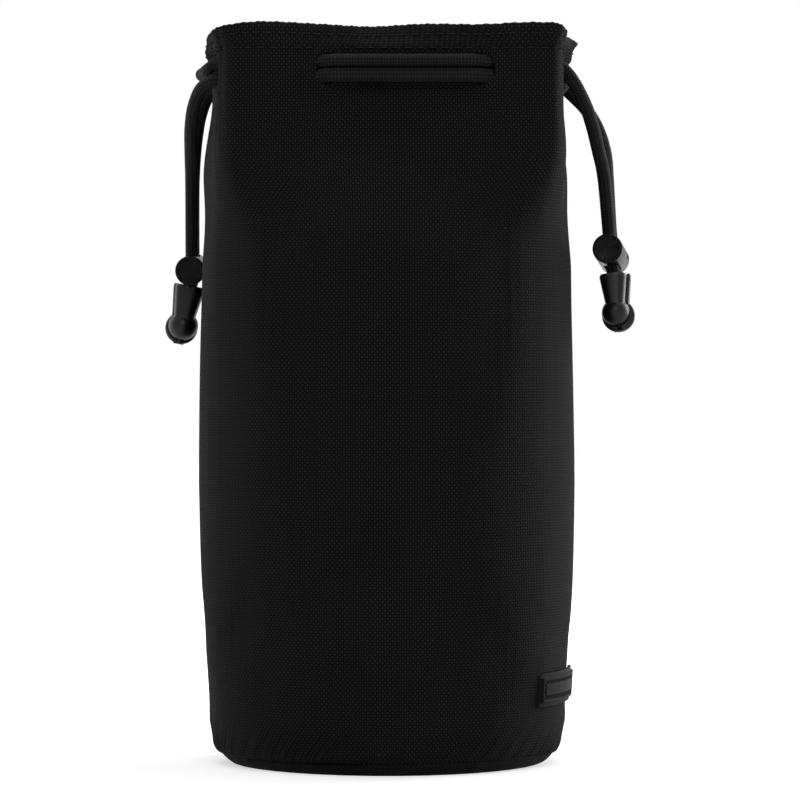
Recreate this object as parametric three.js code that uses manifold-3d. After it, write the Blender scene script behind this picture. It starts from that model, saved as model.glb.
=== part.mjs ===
// Padded drawstring pouch for a long camera lens, in millimetres, +Z up, standing on its base.
// The front looks along -Y. The origin is the middle of the base panel's underside.
import * as THREE from "three";
import { LoftGeometry } from "three/addons/geometries/LoftGeometry.js";
import { mergeVertices } from "three/addons/utils/BufferGeometryUtils.js";
import Module from "manifold-3d";

// Pouch body
const bodyRadius = 55.8;
const pouchHeight = 218;
const seamHeight = 5.6;
const gatherDepth = 50;
const cordBandDepth = 12.5;
const foamSetback = 2;
const gatherSwell = 2.4;

// Layers of the wall and the base, from the outside in
const shellThickness = 0.8;
const foamThickness = 6;
const baseFoamThickness = 4;
const liningThickness = 0.6;
const layerGap = 0.3;

// Hem at the rim
const hemDepth = 6.5;
const hemGap = 0.3;
const hemRound = 0.8;
const liningHemLap = 3;

// Base
const baseEdgeRound = 3.6;
const bindingWidth = 4.5;
const bindingThickness = 0.8;

// Label patch
const labelLength = 35;
const labelHeight = 9.8;
const labelThickness = 1.2;
const labelFlange = 1.1;
const labelFrame = 0.9;
const labelChannel = 1;
const labelChannelDepth = 0.7;
const labelPanelDrop = 0.2;
const labelDraft = 0.1;
const labelCentreHeight = 23.8;
const labelCentreDegrees = -17;
const labelTiltDegrees = 1.5;

// Drawcords
const cordDiameter = 4;
const cordSpacing = 4.3;
const cordBendRadius = 5.6;
const cordOutside = 3.3;
const cordInside = 4.1;
const cordSides = 8;
const tailSteps = 22;

// Eyelets and their washers
const eyeletBore = 9.8;
const eyeletWall = 0.4;
const eyeletFlangeWidth = 1.1;
const eyeletFlangeThickness = 0.5;
const washerThickness = 0.3;
const eyeletGap = 0.2;
const fitGap = 0.3;

// Cord lock
const barrelDiameter = 9;
const barrelLength = 18.5;
const barrelWall = 1;
const barrelFrontWall = 1.2;
const barrelEdge = 0.5;
const slotWidth = 4.6;
const slotLength = 10.8;
const slotStart = 4.6;
const buttonTravel = 2;
const buttonProtrusion = 2.4;
const plungerFaceWeb = 1.2;
const springWire = 0.5;
const springTurns = 3;
const springRadius = 2.1;
const spigotRadius = 1.3;
const spigotLength = 1;
const lugLength = 1.2;
const lugWidth = 1;
const lugHeight = 0.6;
const lugStart = 15.2;

// Cord end
const ballRadius = 4.95;
const endHalfDepth = 5.25;
const endWall = 0.7;
const neckTopRadius = 4.8;
const waistRadius = 3.75;
const waistHeight = 4.6;
const neckTopHeight = 12.4;
const lidStep = 0.6;
const partingGap = 0.3;
const partingDepth = 0.5;
const knotRadius = 2.9;
const knotSetback = 0.5;
const pinRadius = 0.45;
const knuckleRadius = 1.15;
const knuckleLength = 1.8;
const earThickness = 0.8;

// Overrun of a cutting solid, and the distance at which vertices count as one
const overrun = 1;
const weldDistance = 0.0001;

// Radius of the body as shares of its height and its widest radius
const bodyProfileShares = [
  [0, 0.9],
  [0.06, 0.958],
  [0.385, 1],
  [0.68, 1],
  [0.76, 0.984],
  [0.92, 0.965],
];

// Outline of the gathered collar round the cords, then of the rim, as shares of the body radius.
// Both go counterclockwise from the right side. A rim point has a rise too.
const collarShares = [
  [0.9, 0.02],
  [0.892, 0.22],
  [0.89, 0.42],
  [0.905, 0.55],
  [0.92, 0.66],
  [0.83, 0.74],
  [0.68, 0.745],
  [0.41, 0.715],
  [0.09, 0.7],
  [-0.2, 0.705],
  [-0.41, 0.715],
  [-0.66, 0.75],
  [-0.83, 0.75],
  [-0.925, 0.65],
  [-0.915, 0.53],
  [-0.91, 0.4],
  [-0.928, 0.2],
  [-0.94, 0.02],
  [-0.914, -0.16],
  [-0.894, -0.35],
  [-0.887, -0.5],
  [-0.83, -0.638],
  [-0.68, -0.675],
  [-0.33, -0.645],
  [0.09, -0.628],
  [0.51, -0.645],
  [0.76, -0.68],
  [0.885, -0.64],
  [0.925, -0.51],
  [0.909, -0.34],
];
const rimShares = [
  [0.98, 0.02, -0.005],
  [1, 0.24, -0.004],
  [1.025, 0.46, -0.002],
  [1.05, 0.6, 0],
  [1.06, 0.71, 0.001],
  [0.95, 0.785, 0.002],
  [0.74, 0.765, 0],
  [0.43, 0.73, -0.003],
  [0.09, 0.7, -0.006],
  [-0.22, 0.715, -0.003],
  [-0.45, 0.735, 0],
  [-0.71, 0.765, 0.001],
  [-0.89, 0.765, 0],
  [-1, 0.66, -0.001],
  [-1.005, 0.53, -0.002],
  [-0.985, 0.39, -0.004],
  [-0.98, 0.2, -0.004],
  [-0.975, 0.02, -0.004],
  [-0.96, -0.17, -0.003],
  [-0.935, -0.37, -0.003],
  [-0.918, -0.53, -0.003],
  [-0.855, -0.645, 0],
  [-0.68, -0.65, 0.005],
  [-0.34, -0.585, 0.003],
  [0, -0.525, -0.001],
  [0.42, -0.6, 0.001],
  [0.78, -0.68, 0.003],
  [0.91, -0.68, -0.002],
  [0.95, -0.55, -0.005],
  [0.955, -0.34, -0.006],
];

// Places of the eyelets as shares of the way round the collar
const eyeletShares = {
  right_rear: 0.0667,
  back_right: 0.2333,
  back_left: 0.3333,
  left_rear: 0.5,
  left_front: 0.6333,
  front_left: 0.7667,
  front_right: 0.8333,
  right_front: 0.9667,
};

// Free tails of the cords: the points of each run from its eyelet down to the parallel part, chosen by hand
const tailRoutes = {
  left_tail_front: [
    [-48.6, -20, 203.1],
    [-51.3, -18.8, 203],
    [-54.8, -15.5, 201],
    [-57.3, -10, 196.4],
    [-58.7, -1.5, 190.2],
    [-59.2, 8.5, 183.2],
    [-59.4, 16.5, 176],
  ],
  left_tail_rear: [
    [-49.6, 22.6, 203.1],
    [-52.4, 24.2, 203],
    [-55.1, 26, 201],
    [-57.2, 27.6, 196],
    [-58.4, 28, 189.6],
    [-59.1, 27.2, 182],
    [-59.4, 26.2, 174.4],
  ],
  right_tail_front: [
    [49.4, -19.8, 207.5],
    [51.4, -21, 206.7],
    [53.4, -21.8, 204.7],
    [55.4, -21.5, 201.9],
    [57.5, -19.6, 198.2],
    [59.4, -16.5, 194.4],
    [61.2, -12.8, 189.4],
    [63, -8.4, 183],
    [64.7, -3.6, 176.6],
  ],
  right_tail_rear: [
    [49.6, 24.6, 207.4],
    [51.8, 25.6, 206.1],
    [54.2, 26, 204],
    [57.2, 25.4, 201.2],
    [60.2, 24, 198],
    [62.8, 22, 194],
    [64.9, 19, 189],
    [66.3, 15, 182.6],
    [66.6, 10.4, 175.4],
  ],
};

// Where the fittings hang on each pair of tails: the middle of the lock's clear slot, its axis and the tails'
// direction through it, then the middle of the cord end's ball and its axis
const hangings = {
  left: {
    lock: [-59.5, 24.6, 148.6],
    lockAxis: [0.03, 0.995, 0.08],
    lockUp: [0, -0.08, 0.997],
    end: [-62.9, 24.4, 130.6],
    endUp: [0.19, -0.03, 0.98],
  },
  right: {
    lock: [67.4, 0.6, 152],
    lockAxis: [0.165, 0.97, -0.165],
    lockUp: [-0.07, 0.178, 0.98],
    end: [69.3, -2.9, 133.8],
    endUp: [-0.075, 0.165, 0.984],
  },
};

const wasm = await Module();
wasm.setup();

const up = new THREE.Vector3(0, 0, 1);
const cordRadius = cordDiameter / 2;
const cordBandTop = pouchHeight - hemDepth;
const cordBandBottom = cordBandTop - cordBandDepth;
const gatherStart = cordBandBottom - gatherDepth;
const foamTop = cordBandBottom - foamSetback;
const cordLevel = (cordBandBottom + cordBandTop) / 2;
const liningInset = shellThickness + foamThickness + 2 * layerGap;
const barrelRadius = barrelDiameter / 2;
const plungerRadius = barrelRadius - barrelWall - fitGap;
const clearSlotMiddle = slotStart + (slotLength + buttonTravel) / 2;

// Materials

function cloth(color, roughness) {
  return new THREE.MeshStandardMaterial({ color, roughness, metalness: 0 });
}

const wovenCloth = cloth(0x151517, 0.95);
const liningCloth = cloth(0x2a2a2c, 0.8);
const foam = cloth(0x3c3c3e, 1);
const tape = cloth(0x1a1a1b, 0.9);
const rubber = cloth(0x222223, 0.6);
const braid = cloth(0x18181a, 0.85);
const plastic = cloth(0x101011, 0.4);
const blackMetal = new THREE.MeshStandardMaterial({ color: 0x2b2b2c, roughness: 0.4, metalness: 1 });
const springSteel = new THREE.MeshStandardMaterial({ color: 0x9a9a98, roughness: 0.3, metalness: 1 });

// Solids for cuts and joins

function solidOf(geometry) {
  const bare = new THREE.BufferGeometry().copy(geometry);
  bare.deleteAttribute("normal");
  bare.deleteAttribute("uv");
  const merged = mergeVertices(bare, weldDistance);
  const corners = [];
  for (let first = 0; first < merged.index.count; first += 3) {
    const triangle = merged.index.array.slice(first, first + 3);
    if (new Set(triangle).size === 3) {
      corners.push(...triangle);
    }
  }
  const mesh = new wasm.Mesh({
    numProp: 3,
    vertProperties: merged.attributes.position.array,
    triVerts: new Uint32Array(corners),
  });
  return new wasm.Manifold(mesh);
}

function geometryOf(solid) {
  const mesh = solid.getMesh();
  const geometry = new THREE.BufferGeometry();
  geometry.setAttribute("position", new THREE.BufferAttribute(mesh.vertProperties, 3));
  geometry.setIndex(new THREE.BufferAttribute(mesh.triVerts, 1));
  geometry.computeVertexNormals();
  return geometry;
}

function cut(geometry, tools) {
  let solid = solidOf(geometry);
  for (const tool of tools) {
    solid = solid.subtract(solidOf(tool));
  }
  return geometryOf(solid);
}

function joined(geometries) {
  let solid = solidOf(geometries[0]);
  for (const other of geometries.slice(1)) {
    solid = solid.add(solidOf(other));
  }
  return geometryOf(solid);
}

function piece(name, geometry, material) {
  const mesh = new THREE.Mesh(geometry, material);
  mesh.name = name;
  return mesh;
}

function lathe(profile, segments) {
  return new THREE.LatheGeometry(profile.map(([r, y]) => new THREE.Vector2(r, y)), segments);
}

// A frame at a place, its Y along an axis and its Z as near to a direction as it can be
function frameAt(place, axis, toward) {
  const y = axis.clone().normalize();
  const x = new THREE.Vector3().crossVectors(y, toward).normalize();
  const z = new THREE.Vector3().crossVectors(x, y);
  return new THREE.Matrix4().makeBasis(x, y, z).setPosition(place);
}

// Outline of the wall

function interpolate(table, at) {
  const next = Math.max(1, table.findIndex(([place]) => place >= at));
  const [fromPlace, fromValue] = table[next - 1];
  const [toPlace, toValue] = table[next];
  return fromValue + ((toValue - fromValue) * (at - fromPlace)) / (toPlace - fromPlace);
}

function bodyRadiusAt(height) {
  return bodyRadius * interpolate(bodyProfileShares, height / pouchHeight);
}

const collarCurve = new THREE.CatmullRomCurve3(
  collarShares.map(([x, y]) => new THREE.Vector3(x * bodyRadius, y * bodyRadius, 0)),
  true,
);
const rimCurve = new THREE.CatmullRomCurve3(
  rimShares.map(([x, y, rise]) => new THREE.Vector3(x * bodyRadius, y * bodyRadius, rise * pouchHeight)),
  true,
);
const stations = 50;
const collarDivisions = collarShares.length * stations;
collarCurve.arcLengthDivisions = collarDivisions;
const collarLengths = collarCurve.getLengths(collarDivisions);
const collarLength = collarLengths[collarDivisions];

// Length along the collar at a share of the curve's own run
function lengthAt(share) {
  return collarLengths[Math.round(share * collarDivisions)];
}

// One point of the wall's outside. Below the gather the wall is round, and its stations keep the length shares
// that they have in the collar.
function outsidePoint(station, height) {
  const share = station / stations;
  const angle = (2 * Math.PI * lengthAt(share)) / collarLength;
  const direction = new THREE.Vector3(Math.cos(angle), Math.sin(angle), 0);
  const point = direction.clone().multiplyScalar(bodyRadiusAt(Math.min(height, cordBandBottom)));
  const gather = THREE.MathUtils.smoothstep(height, gatherStart, cordBandBottom);
  point.lerp(collarCurve.getPoint(share), gather);
  point.addScaledVector(direction, gatherSwell * Math.sin(Math.PI * gather ** 1.5));
  const flare = Math.max(0, (height - cordBandTop) / (pouchHeight - cordBandTop));
  point.lerp(rimCurve.getPoint(share), flare);
  point.z += height;
  return point;
}

// How many stations to each side of a point give the direction in which it is set in
const insetReach = 3;

// A closed ring of the wall at a height, set in from the outside by an inset
function wallRing(inset, height) {
  const outside = [];
  for (let station = 0; station < stations; station++) {
    outside.push(outsidePoint(station, height));
  }
  return outside.map((point, station) => {
    const ahead = outside[(station + insetReach) % stations];
    const behind = outside[(station + stations - insetReach) % stations];
    const along = new THREE.Vector3().subVectors(ahead, behind).setZ(0).normalize();
    const inward = new THREE.Vector3(-along.y, along.x, 0);
    return point.clone().addScaledVector(inward, inset);
  });
}

const gatherSteps = 3;

// The heights between which every skin of the wall is straight
function bendHeights() {
  const heights = [0];
  for (const [share] of bodyProfileShares.slice(1, 3)) {
    heights.push(share * pouchHeight);
  }
  for (let step = 0; step <= gatherSteps; step++) {
    heights.push(THREE.MathUtils.lerp(gatherStart, cordBandBottom, step / gatherSteps));
  }
  return [...heights, cordBandTop, pouchHeight];
}

// A ring on the straight stretch that holds a height
function ringAt(inset, height) {
  const heights = bendHeights();
  const above = Math.max(1, heights.findIndex((bend) => bend >= height));
  const [low, high] = [heights[above - 1], heights[above]];
  const upper = wallRing(inset, high);
  return wallRing(inset, low).map((point, station) => point.lerp(upper[station], (height - low) / (high - low)));
}

// The rings of a skin from one height up to another, with a ring at each bend and at any other heights given
function skin(inset, bottom, top, others = []) {
  const between = [...bendHeights(), ...others].filter((height) => height > bottom && height < top);
  return [bottom, ...between, top].map((height) => ringAt(inset, height));
}

// A body round rings that go up and down between skins and close on themselves. Rising and falling skins have
// the same diagonals, so thin layers stay apart.
function wallLayer(rings) {
  const corners = [];
  rings.forEach((ring, row) => {
    const next = (row + 1) % rings.length;
    const rising = rings[next][0].z > ring[0].z;
    for (let station = 0; station < stations; station++) {
      const beside = (station + 1) % stations;
      const [here, along] = [row * stations + station, row * stations + beside];
      const [onward, across] = [next * stations + station, next * stations + beside];
      if (rising) {
        corners.push(here, along, across, here, across, onward);
      } else {
        corners.push(here, along, onward, along, across, onward);
      }
    }
  });
  const geometry = new THREE.BufferGeometry().setFromPoints(rings.flat());
  geometry.setIndex(corners);
  geometry.computeVertexNormals();
  return geometry;
}

// Pouch pieces

const leafInset = shellThickness + hemGap;
const leafInnerInset = leafInset + shellThickness;
const lapTop = cordBandTop + liningHemLap;

// The cloth turns over at the rim and comes down inside as the hem's inner leaf
function outerShell(places) {
  const roundFoot = pouchHeight - hemRound;
  const fold = roundFoot - shellThickness;
  const rings = [
    ...skin(0, seamHeight, roundFoot),
    ringAt(leafInnerInset / 2, pouchHeight),
    ...skin(leafInnerInset, cordBandTop, roundFoot, [lapTop]).reverse(),
    ...skin(leafInset, cordBandTop, fold),
    ...skin(shellThickness, seamHeight, fold).reverse(),
  ];
  return piece("outer_shell", cut(wallLayer(rings), places.flatMap(eyeletCutters)), wovenCloth);
}

function foamWall() {
  const inset = shellThickness + layerGap;
  const foot = seamHeight + layerGap;
  const rings = [...skin(inset, foot, foamTop), ...skin(inset + foamThickness, foot, foamTop).reverse()];
  return piece("foam_wall", wallLayer(rings), foam);
}

const floorHeight = shellThickness + baseFoamThickness + liningThickness + 3 * layerGap;

// The lining rises behind the foam and the cord channel, comes out under the hem and laps its inner leaf
function innerLining() {
  const lapInset = leafInnerInset + layerGap;
  const shelfBottom = cordLevel + cordSpacing / 2 + cordRadius + layerGap;
  const shelfTop = shelfBottom + liningThickness;
  const rings = [
    ...skin(liningInset, floorHeight, shelfBottom),
    ...skin(lapInset, shelfBottom, lapTop),
    ...skin(lapInset + liningThickness, shelfTop, lapTop).reverse(),
    ...skin(liningInset + liningThickness, floorHeight, shelfTop).reverse(),
  ];
  return piece("inner_lining", wallLayer(rings), liningCloth);
}

const roundSegments = 36;

function onBase(mesh) {
  mesh.rotation.x = Math.PI / 2;
  return mesh;
}

function baseShell() {
  const edge = bodyRadiusAt(seamHeight);
  const top = seamHeight - layerGap;
  const flat = edge - baseEdgeRound;
  const round = [];
  const inside = [];
  for (const degrees of [0, 30, 60, 90]) {
    const angle = THREE.MathUtils.degToRad(degrees);
    const across = Math.sin(angle);
    const climb = 1 - Math.cos(angle);
    round.push([flat + baseEdgeRound * across, top * climb]);
    const inner = flat + (baseEdgeRound - shellThickness) * across;
    inside.unshift([inner, shellThickness + (top - shellThickness) * climb]);
  }
  const profile = [[0, 0], ...round, ...inside, [0, shellThickness]];
  return onBase(piece("base_shell", lathe(profile, roundSegments), wovenCloth));
}

function baseDisc(name, bottom, thickness, radius, material) {
  const geometry = new THREE.CylinderGeometry(radius, radius, thickness, roundSegments);
  const mesh = onBase(piece(name, geometry, material));
  mesh.position.z = bottom + thickness / 2;
  return mesh;
}

function baseBinding() {
  const wall = bodyRadiusAt(seamHeight) - liningInset - liningThickness - layerGap;
  const profile = [
    [wall - bindingWidth, floorHeight],
    [wall, floorHeight],
    [wall, floorHeight + bindingWidth],
    [wall - bindingThickness, floorHeight + bindingWidth],
    [wall - 2 * bindingThickness, floorHeight + bindingThickness],
    [wall - bindingWidth, floorHeight + bindingThickness],
    [wall - bindingWidth, floorHeight],
  ];
  return onBase(piece("base_binding", lathe(profile, roundSegments), tape));
}

// Label patch: columns run along the wall, rows up it. Its face steps down from the frame to the channel, then
// up again to the bare panel.
function labelPatch() {
  const frameInside = labelFlange + labelFrame;
  const panelEdge = frameInside + labelChannel;
  const bands = [
    [0, labelThickness - labelChannelDepth],
    [labelFlange, labelThickness - labelChannelDepth],
    [labelFlange + labelDraft, labelThickness],
    [frameInside, labelThickness],
    [frameInside + labelDraft, labelThickness - labelChannelDepth],
    [panelEdge, labelThickness - labelChannelDepth],
    [panelEdge + labelDraft, labelThickness - labelPanelDrop],
  ];
  const steps = [...bands, [labelLength, labelThickness - labelPanelDrop]];
  const stationsOf = (size, middles) => [
    ...bands.map(([distance]) => distance),
    ...middles.map((share) => share * size),
    ...bands.map(([distance]) => size - distance).reverse(),
  ];
  const columns = stationsOf(labelLength, [0.27, 0.42, 0.58, 0.73]);
  const rows = stationsOf(labelHeight, []);
  const tilt = THREE.MathUtils.degToRad(labelTiltDegrees);
  const centre = THREE.MathUtils.degToRad(labelCentreDegrees);
  const place = (across, rising, out) => {
    const along = (across - labelLength / 2) * Math.cos(tilt) - (rising - labelHeight / 2) * Math.sin(tilt);
    const climb = (across - labelLength / 2) * Math.sin(tilt) + (rising - labelHeight / 2) * Math.cos(tilt);
    const height = labelCentreHeight + climb;
    const wall = bodyRadiusAt(height) + layerGap;
    const angle = centre + along / wall;
    return new THREE.Vector3((wall + out) * Math.cos(angle), (wall + out) * Math.sin(angle), height);
  };
  const sections = columns.map((across) => {
    const face = rows.map((rising) => {
      const distance = Math.min(across, labelLength - across, rising, labelHeight - rising);
      return place(across, rising, interpolate(steps, distance));
    });
    const back = [labelHeight, labelHeight / 2, 0].map((rising) => place(across, rising, 0));
    return [...face, ...back].reverse();
  });
  return piece("label_patch", new LoftGeometry(sections, { capStart: true, capEnd: true }), rubber);
}

// Eyelets: each has a frame on the wall's outside, Y outward

function eyeletPlace(name, share) {
  const place = collarCurve.getPoint(share).setZ(cordLevel);
  const along = collarCurve.getTangent(share);
  const outward = new THREE.Vector3(along.y, -along.x, 0);
  return { name, frame: frameAt(place, outward, up) };
}

const eyeletSegments = 10;
const cutterSegments = 8;
const barrelOuter = eyeletBore / 2 + eyeletWall;
const flangeRadius = eyeletBore / 2 + eyeletFlangeWidth;

function eyeletCutters({ frame }) {
  const reach = shellThickness + overrun;
  const corner = 1 / Math.cos(Math.PI / cutterSegments);
  const holeRadius = (barrelOuter + eyeletGap) * corner;
  const padRadius = (flangeRadius + eyeletGap) * corner;
  const hole = new THREE.CylinderGeometry(holeRadius, holeRadius, 4 * reach, cutterSegments);
  const outerPad = new THREE.CylinderGeometry(padRadius, padRadius, overrun, cutterSegments);
  for (const tool of [hole, outerPad]) {
    tool.rotateY(Math.PI / cutterSegments);
  }
  const innerPad = outerPad.clone();
  outerPad.translate(0, overrun / 2, 0);
  innerPad.translate(0, -shellThickness - overrun / 2, 0);
  return [hole, outerPad, innerPad].map((tool) => tool.applyMatrix4(frame));
}

function eyeletPieces({ name, frame }) {
  const outerFace = eyeletGap + eyeletFlangeThickness;
  const washerFace = -shellThickness - eyeletGap;
  const rolledFace = washerFace - washerThickness - eyeletGap;
  const bore = eyeletBore / 2;
  const eyelet = lathe(
    [
      [bore, rolledFace - eyeletWall / 2],
      [barrelOuter + eyeletWall, rolledFace - eyeletWall / 2],
      [barrelOuter, rolledFace + eyeletWall / 2],
      [barrelOuter, eyeletGap],
      [flangeRadius, eyeletGap],
      [flangeRadius - eyeletFlangeThickness / 2, outerFace],
      [bore, outerFace],
      [bore, rolledFace - eyeletWall / 2],
    ],
    eyeletSegments,
  );
  const washer = lathe(
    [
      [barrelOuter + eyeletGap, washerFace - washerThickness],
      [flangeRadius, washerFace - washerThickness],
      [flangeRadius, washerFace],
      [barrelOuter + eyeletGap, washerFace],
      [barrelOuter + eyeletGap, washerFace - washerThickness],
    ],
    eyeletSegments,
  );
  const meshes = [piece("eyelet_" + name, eyelet, blackMetal), piece("washer_" + name, washer, blackMetal)];
  for (const mesh of meshes) {
    mesh.applyMatrix4(frame);
  }
  return meshes;
}

// Drawcord held by the collar: outside the wall on every second run and inside it on the others. It crosses
// the wall in each eyelet by two arcs. Its parameter goes from stop to stop, close together where it bends.
const crossingRise = cordOutside + cordInside;
const crossingReach = Math.sqrt(cordBendRadius ** 2 - (cordBendRadius - crossingRise / 2) ** 2);
const crossingShares = [-1, -0.66, -0.33, 0, 0.33, 0.66, 1];
const runSteps = 4;

class HeldCord extends THREE.Curve {
  constructor(level, crossings, start, end) {
    super();
    Object.assign(this, { level, crossings });
    this.stops = [start];
    for (const { at } of crossings) {
      this.runTo(at - crossingReach);
      this.stops.push(...crossingShares.map((share) => at + share * crossingReach));
    }
    this.runTo(end);
    this.stops.push(end);
  }

  // Adds stops between the last one and a next one
  runTo(next) {
    const last = this.stops.at(-1);
    for (let step = 1; step < runSteps; step++) {
      this.stops.push(THREE.MathUtils.lerp(last, next, step / runSteps));
    }
  }

  // How far the cord lies outside the wall at a length along the collar
  offsetAt(length) {
    let offset = -cordInside;
    for (const { at, outward } of this.crossings) {
      const past = THREE.MathUtils.clamp((length - at) * outward, -crossingReach, crossingReach);
      const across = crossingReach - Math.abs(past);
      const arc = cordBendRadius - Math.sqrt(cordBendRadius ** 2 - across ** 2);
      const climbed = past < 0 ? arc : crossingRise - arc;
      offset += outward > 0 ? climbed : climbed - crossingRise;
    }
    return offset;
  }

  getUtoTmapping(share) {
    return share;
  }

  getPoint(share, target = new THREE.Vector3()) {
    const place = THREE.MathUtils.clamp(share, 0, 1) * (this.stops.length - 1);
    const stop = Math.min(Math.floor(place), this.stops.length - 2);
    const length = THREE.MathUtils.lerp(this.stops[stop], this.stops[stop + 1], place - stop);
    const outline = collarCurve.getUtoTmapping(THREE.MathUtils.euclideanModulo(length / collarLength, 1));
    const along = collarCurve.getTangent(outline);
    const outward = new THREE.Vector3(along.y, -along.x, 0).normalize();
    target.copy(collarCurve.getPoint(outline)).addScaledVector(outward, this.offsetAt(length));
    return target.setZ(this.level);
  }
}

function cordSection() {
  const corners = [];
  for (let side = 0; side < cordSides; side++) {
    const angle = (2 * Math.PI * side) / cordSides;
    corners.push(new THREE.Vector2(cordRadius * Math.cos(angle), cordRadius * Math.sin(angle)));
  }
  return new THREE.Shape(corners);
}

function cordAlong(name, path, steps) {
  const geometry = new THREE.ExtrudeGeometry(cordSection(), { steps, extrudePath: path });
  return piece(name, geometry, braid);
}

// A loop starts just past one eyelet of its side and goes once round the collar to the other
function heldLoop(name, level, order) {
  const lengths = order.map((eyelet) => lengthAt(eyeletShares[eyelet]));
  const places = lengths.map((length) => (length < lengths[0] ? length + collarLength : length));
  const crossings = places.slice(1, -1).map((at, index) => ({ at, outward: index % 2 ? -1 : 1 }));
  const tailRoom = cordRadius + 2 * fitGap;
  const path = new HeldCord(level, crossings, places[0] + tailRoom, places.at(-1) - tailRoom);
  return cordAlong(name, path, path.stops.length - 1);
}

function drawcordLoops() {
  const lower = cordLevel - cordSpacing / 2;
  const upper = cordLevel + cordSpacing / 2;
  const fromLeft = [
    "left_front",
    "front_left",
    "front_right",
    "right_front",
    "right_rear",
    "back_right",
    "back_left",
    "left_rear",
  ];
  const fromRight = [
    "right_rear",
    "back_right",
    "back_left",
    "left_rear",
    "left_front",
    "front_left",
    "front_right",
    "right_front",
  ];
  const lowerLoop = heldLoop("lower_drawcord_loop", lower, fromLeft);
  const upperLoop = heldLoop("upper_drawcord_loop", upper, fromRight);
  return [lowerLoop, upperLoop];
}

// Fittings on the tails

function vector(values) {
  return new THREE.Vector3(...values);
}

// The lock's frame has its origin in the middle of the clear slot, Y along the barrel and Z up the tails
function lockFrame(hanging) {
  return frameAt(vector(hanging.lock), vector(hanging.lockAxis), vector(hanging.lockUp));
}

// The cord end's frame has its origin in the ball, Y from front to back and Z up the neck
function endFrame(hanging) {
  const z = vector(hanging.endUp).normalize();
  const x = new THREE.Vector3().crossVectors(vector(hanging.lockAxis), z).normalize();
  const y = new THREE.Vector3().crossVectors(z, x);
  return new THREE.Matrix4().makeBasis(x, y, z).setPosition(vector(hanging.end));
}

const knotTop = waistHeight - cordRadius / 2;

function tail(name, side, depth) {
  const hanging = hangings[side];
  const inLock = lockFrame(hanging);
  const inEnd = endFrame(hanging);
  const offset = (depth * cordSpacing) / 2;
  const points = tailRoutes[name].map(vector);
  for (const height of [barrelDiameter, barrelRadius, 0, -barrelRadius / 2]) {
    points.push(new THREE.Vector3(0, offset, height).applyMatrix4(inLock));
  }
  for (const height of [neckTopHeight - cordRadius, waistHeight + cordRadius, knotTop]) {
    points.push(new THREE.Vector3(0, offset, height).applyMatrix4(inEnd));
  }
  return cordAlong(name, new THREE.CatmullRomCurve3(points), tailSteps);
}

// An outline with round ends, centred on X and running along Y from a start
function obround(width, start, length, depth) {
  const radius = width / 2;
  const shape = new THREE.Shape();
  shape.absarc(0, start + radius, radius, Math.PI, 2 * Math.PI);
  shape.absarc(0, start + length - radius, radius, 0, Math.PI);
  const geometry = new THREE.ExtrudeGeometry(shape, { depth, bevelEnabled: false, curveSegments: 5 });
  return geometry.translate(0, 0, -depth / 2);
}

const lockSegments = 14;
const lugReach = plungerRadius + lugHeight;

function lugBox(start, length, clearance) {
  const size = 2 * (lugReach + clearance);
  const box = new THREE.BoxGeometry(size, length, lugWidth + 2 * clearance);
  return box.translate(0, start + length / 2, 0);
}

function lockBarrel(name) {
  const boreRadius = barrelRadius - barrelWall;
  const cup = lathe(
    [
      [0, 0],
      [barrelRadius - barrelEdge, 0],
      [barrelRadius, barrelEdge],
      [barrelRadius, barrelLength - barrelEdge / 2],
      [barrelRadius - barrelEdge / 2, barrelLength],
      [boreRadius, barrelLength],
      [boreRadius, barrelFrontWall],
      [0, barrelFrontWall],
    ],
    lockSegments,
  );
  const slot = obround(slotWidth, slotStart, slotLength, barrelDiameter + overrun);
  const windowStart = lugStart - buttonTravel - fitGap;
  const windowLength = lugLength + buttonTravel + 2 * fitGap;
  const window = lugBox(windowStart, windowLength, barrelWall);
  const trimmed = window.scale(1, 1, (lugWidth + 2 * fitGap) / (lugWidth + 2 * barrelWall));
  return piece(name, cut(cup, [slot, trimmed]), plastic);
}

function lockPlunger(name) {
  const slotFrom = slotStart + buttonTravel;
  const face = slotFrom - plungerFaceWeb;
  const end = barrelLength + buttonProtrusion;
  const body = lathe(
    [
      [0, face - spigotLength],
      [spigotRadius, face - spigotLength],
      [spigotRadius, face],
      [plungerRadius, face],
      [plungerRadius, end - barrelEdge],
      [plungerRadius - barrelEdge, end],
      [0, end],
    ],
    lockSegments,
  );
  const slot = obround(slotWidth, slotFrom, slotLength, barrelDiameter);
  const bored = cut(joined([body, lugBox(lugStart, lugLength, 0)]), [slot]);
  return piece(name, bored, plastic);
}

class Coil extends THREE.Curve {
  constructor(radius, from, to, turns) {
    super();
    Object.assign(this, { radius, from, to, turns });
  }

  getPoint(share, target = new THREE.Vector3()) {
    const angle = 2 * Math.PI * this.turns * share;
    const along = THREE.MathUtils.lerp(this.from, this.to, share);
    return target.set(this.radius * Math.cos(angle), along, this.radius * Math.sin(angle));
  }
}

function lockSpring(name) {
  const face = slotStart + buttonTravel - plungerFaceWeb;
  const from = barrelFrontWall + fitGap + springWire / 2;
  const to = face - fitGap - springWire / 2;
  const sides = 5;
  const corners = [];
  for (let side = 0; side < sides; side++) {
    const angle = (2 * Math.PI * side) / sides;
    corners.push(new THREE.Vector2(Math.cos(angle), Math.sin(angle)).multiplyScalar(springWire / 2));
  }
  const path = new Coil(springRadius, from, to, springTurns);
  const steps = 8 * springTurns;
  const geometry = new THREE.ExtrudeGeometry(new THREE.Shape(corners), { steps, extrudePath: path });
  return piece(name, geometry, springSteel);
}

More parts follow.
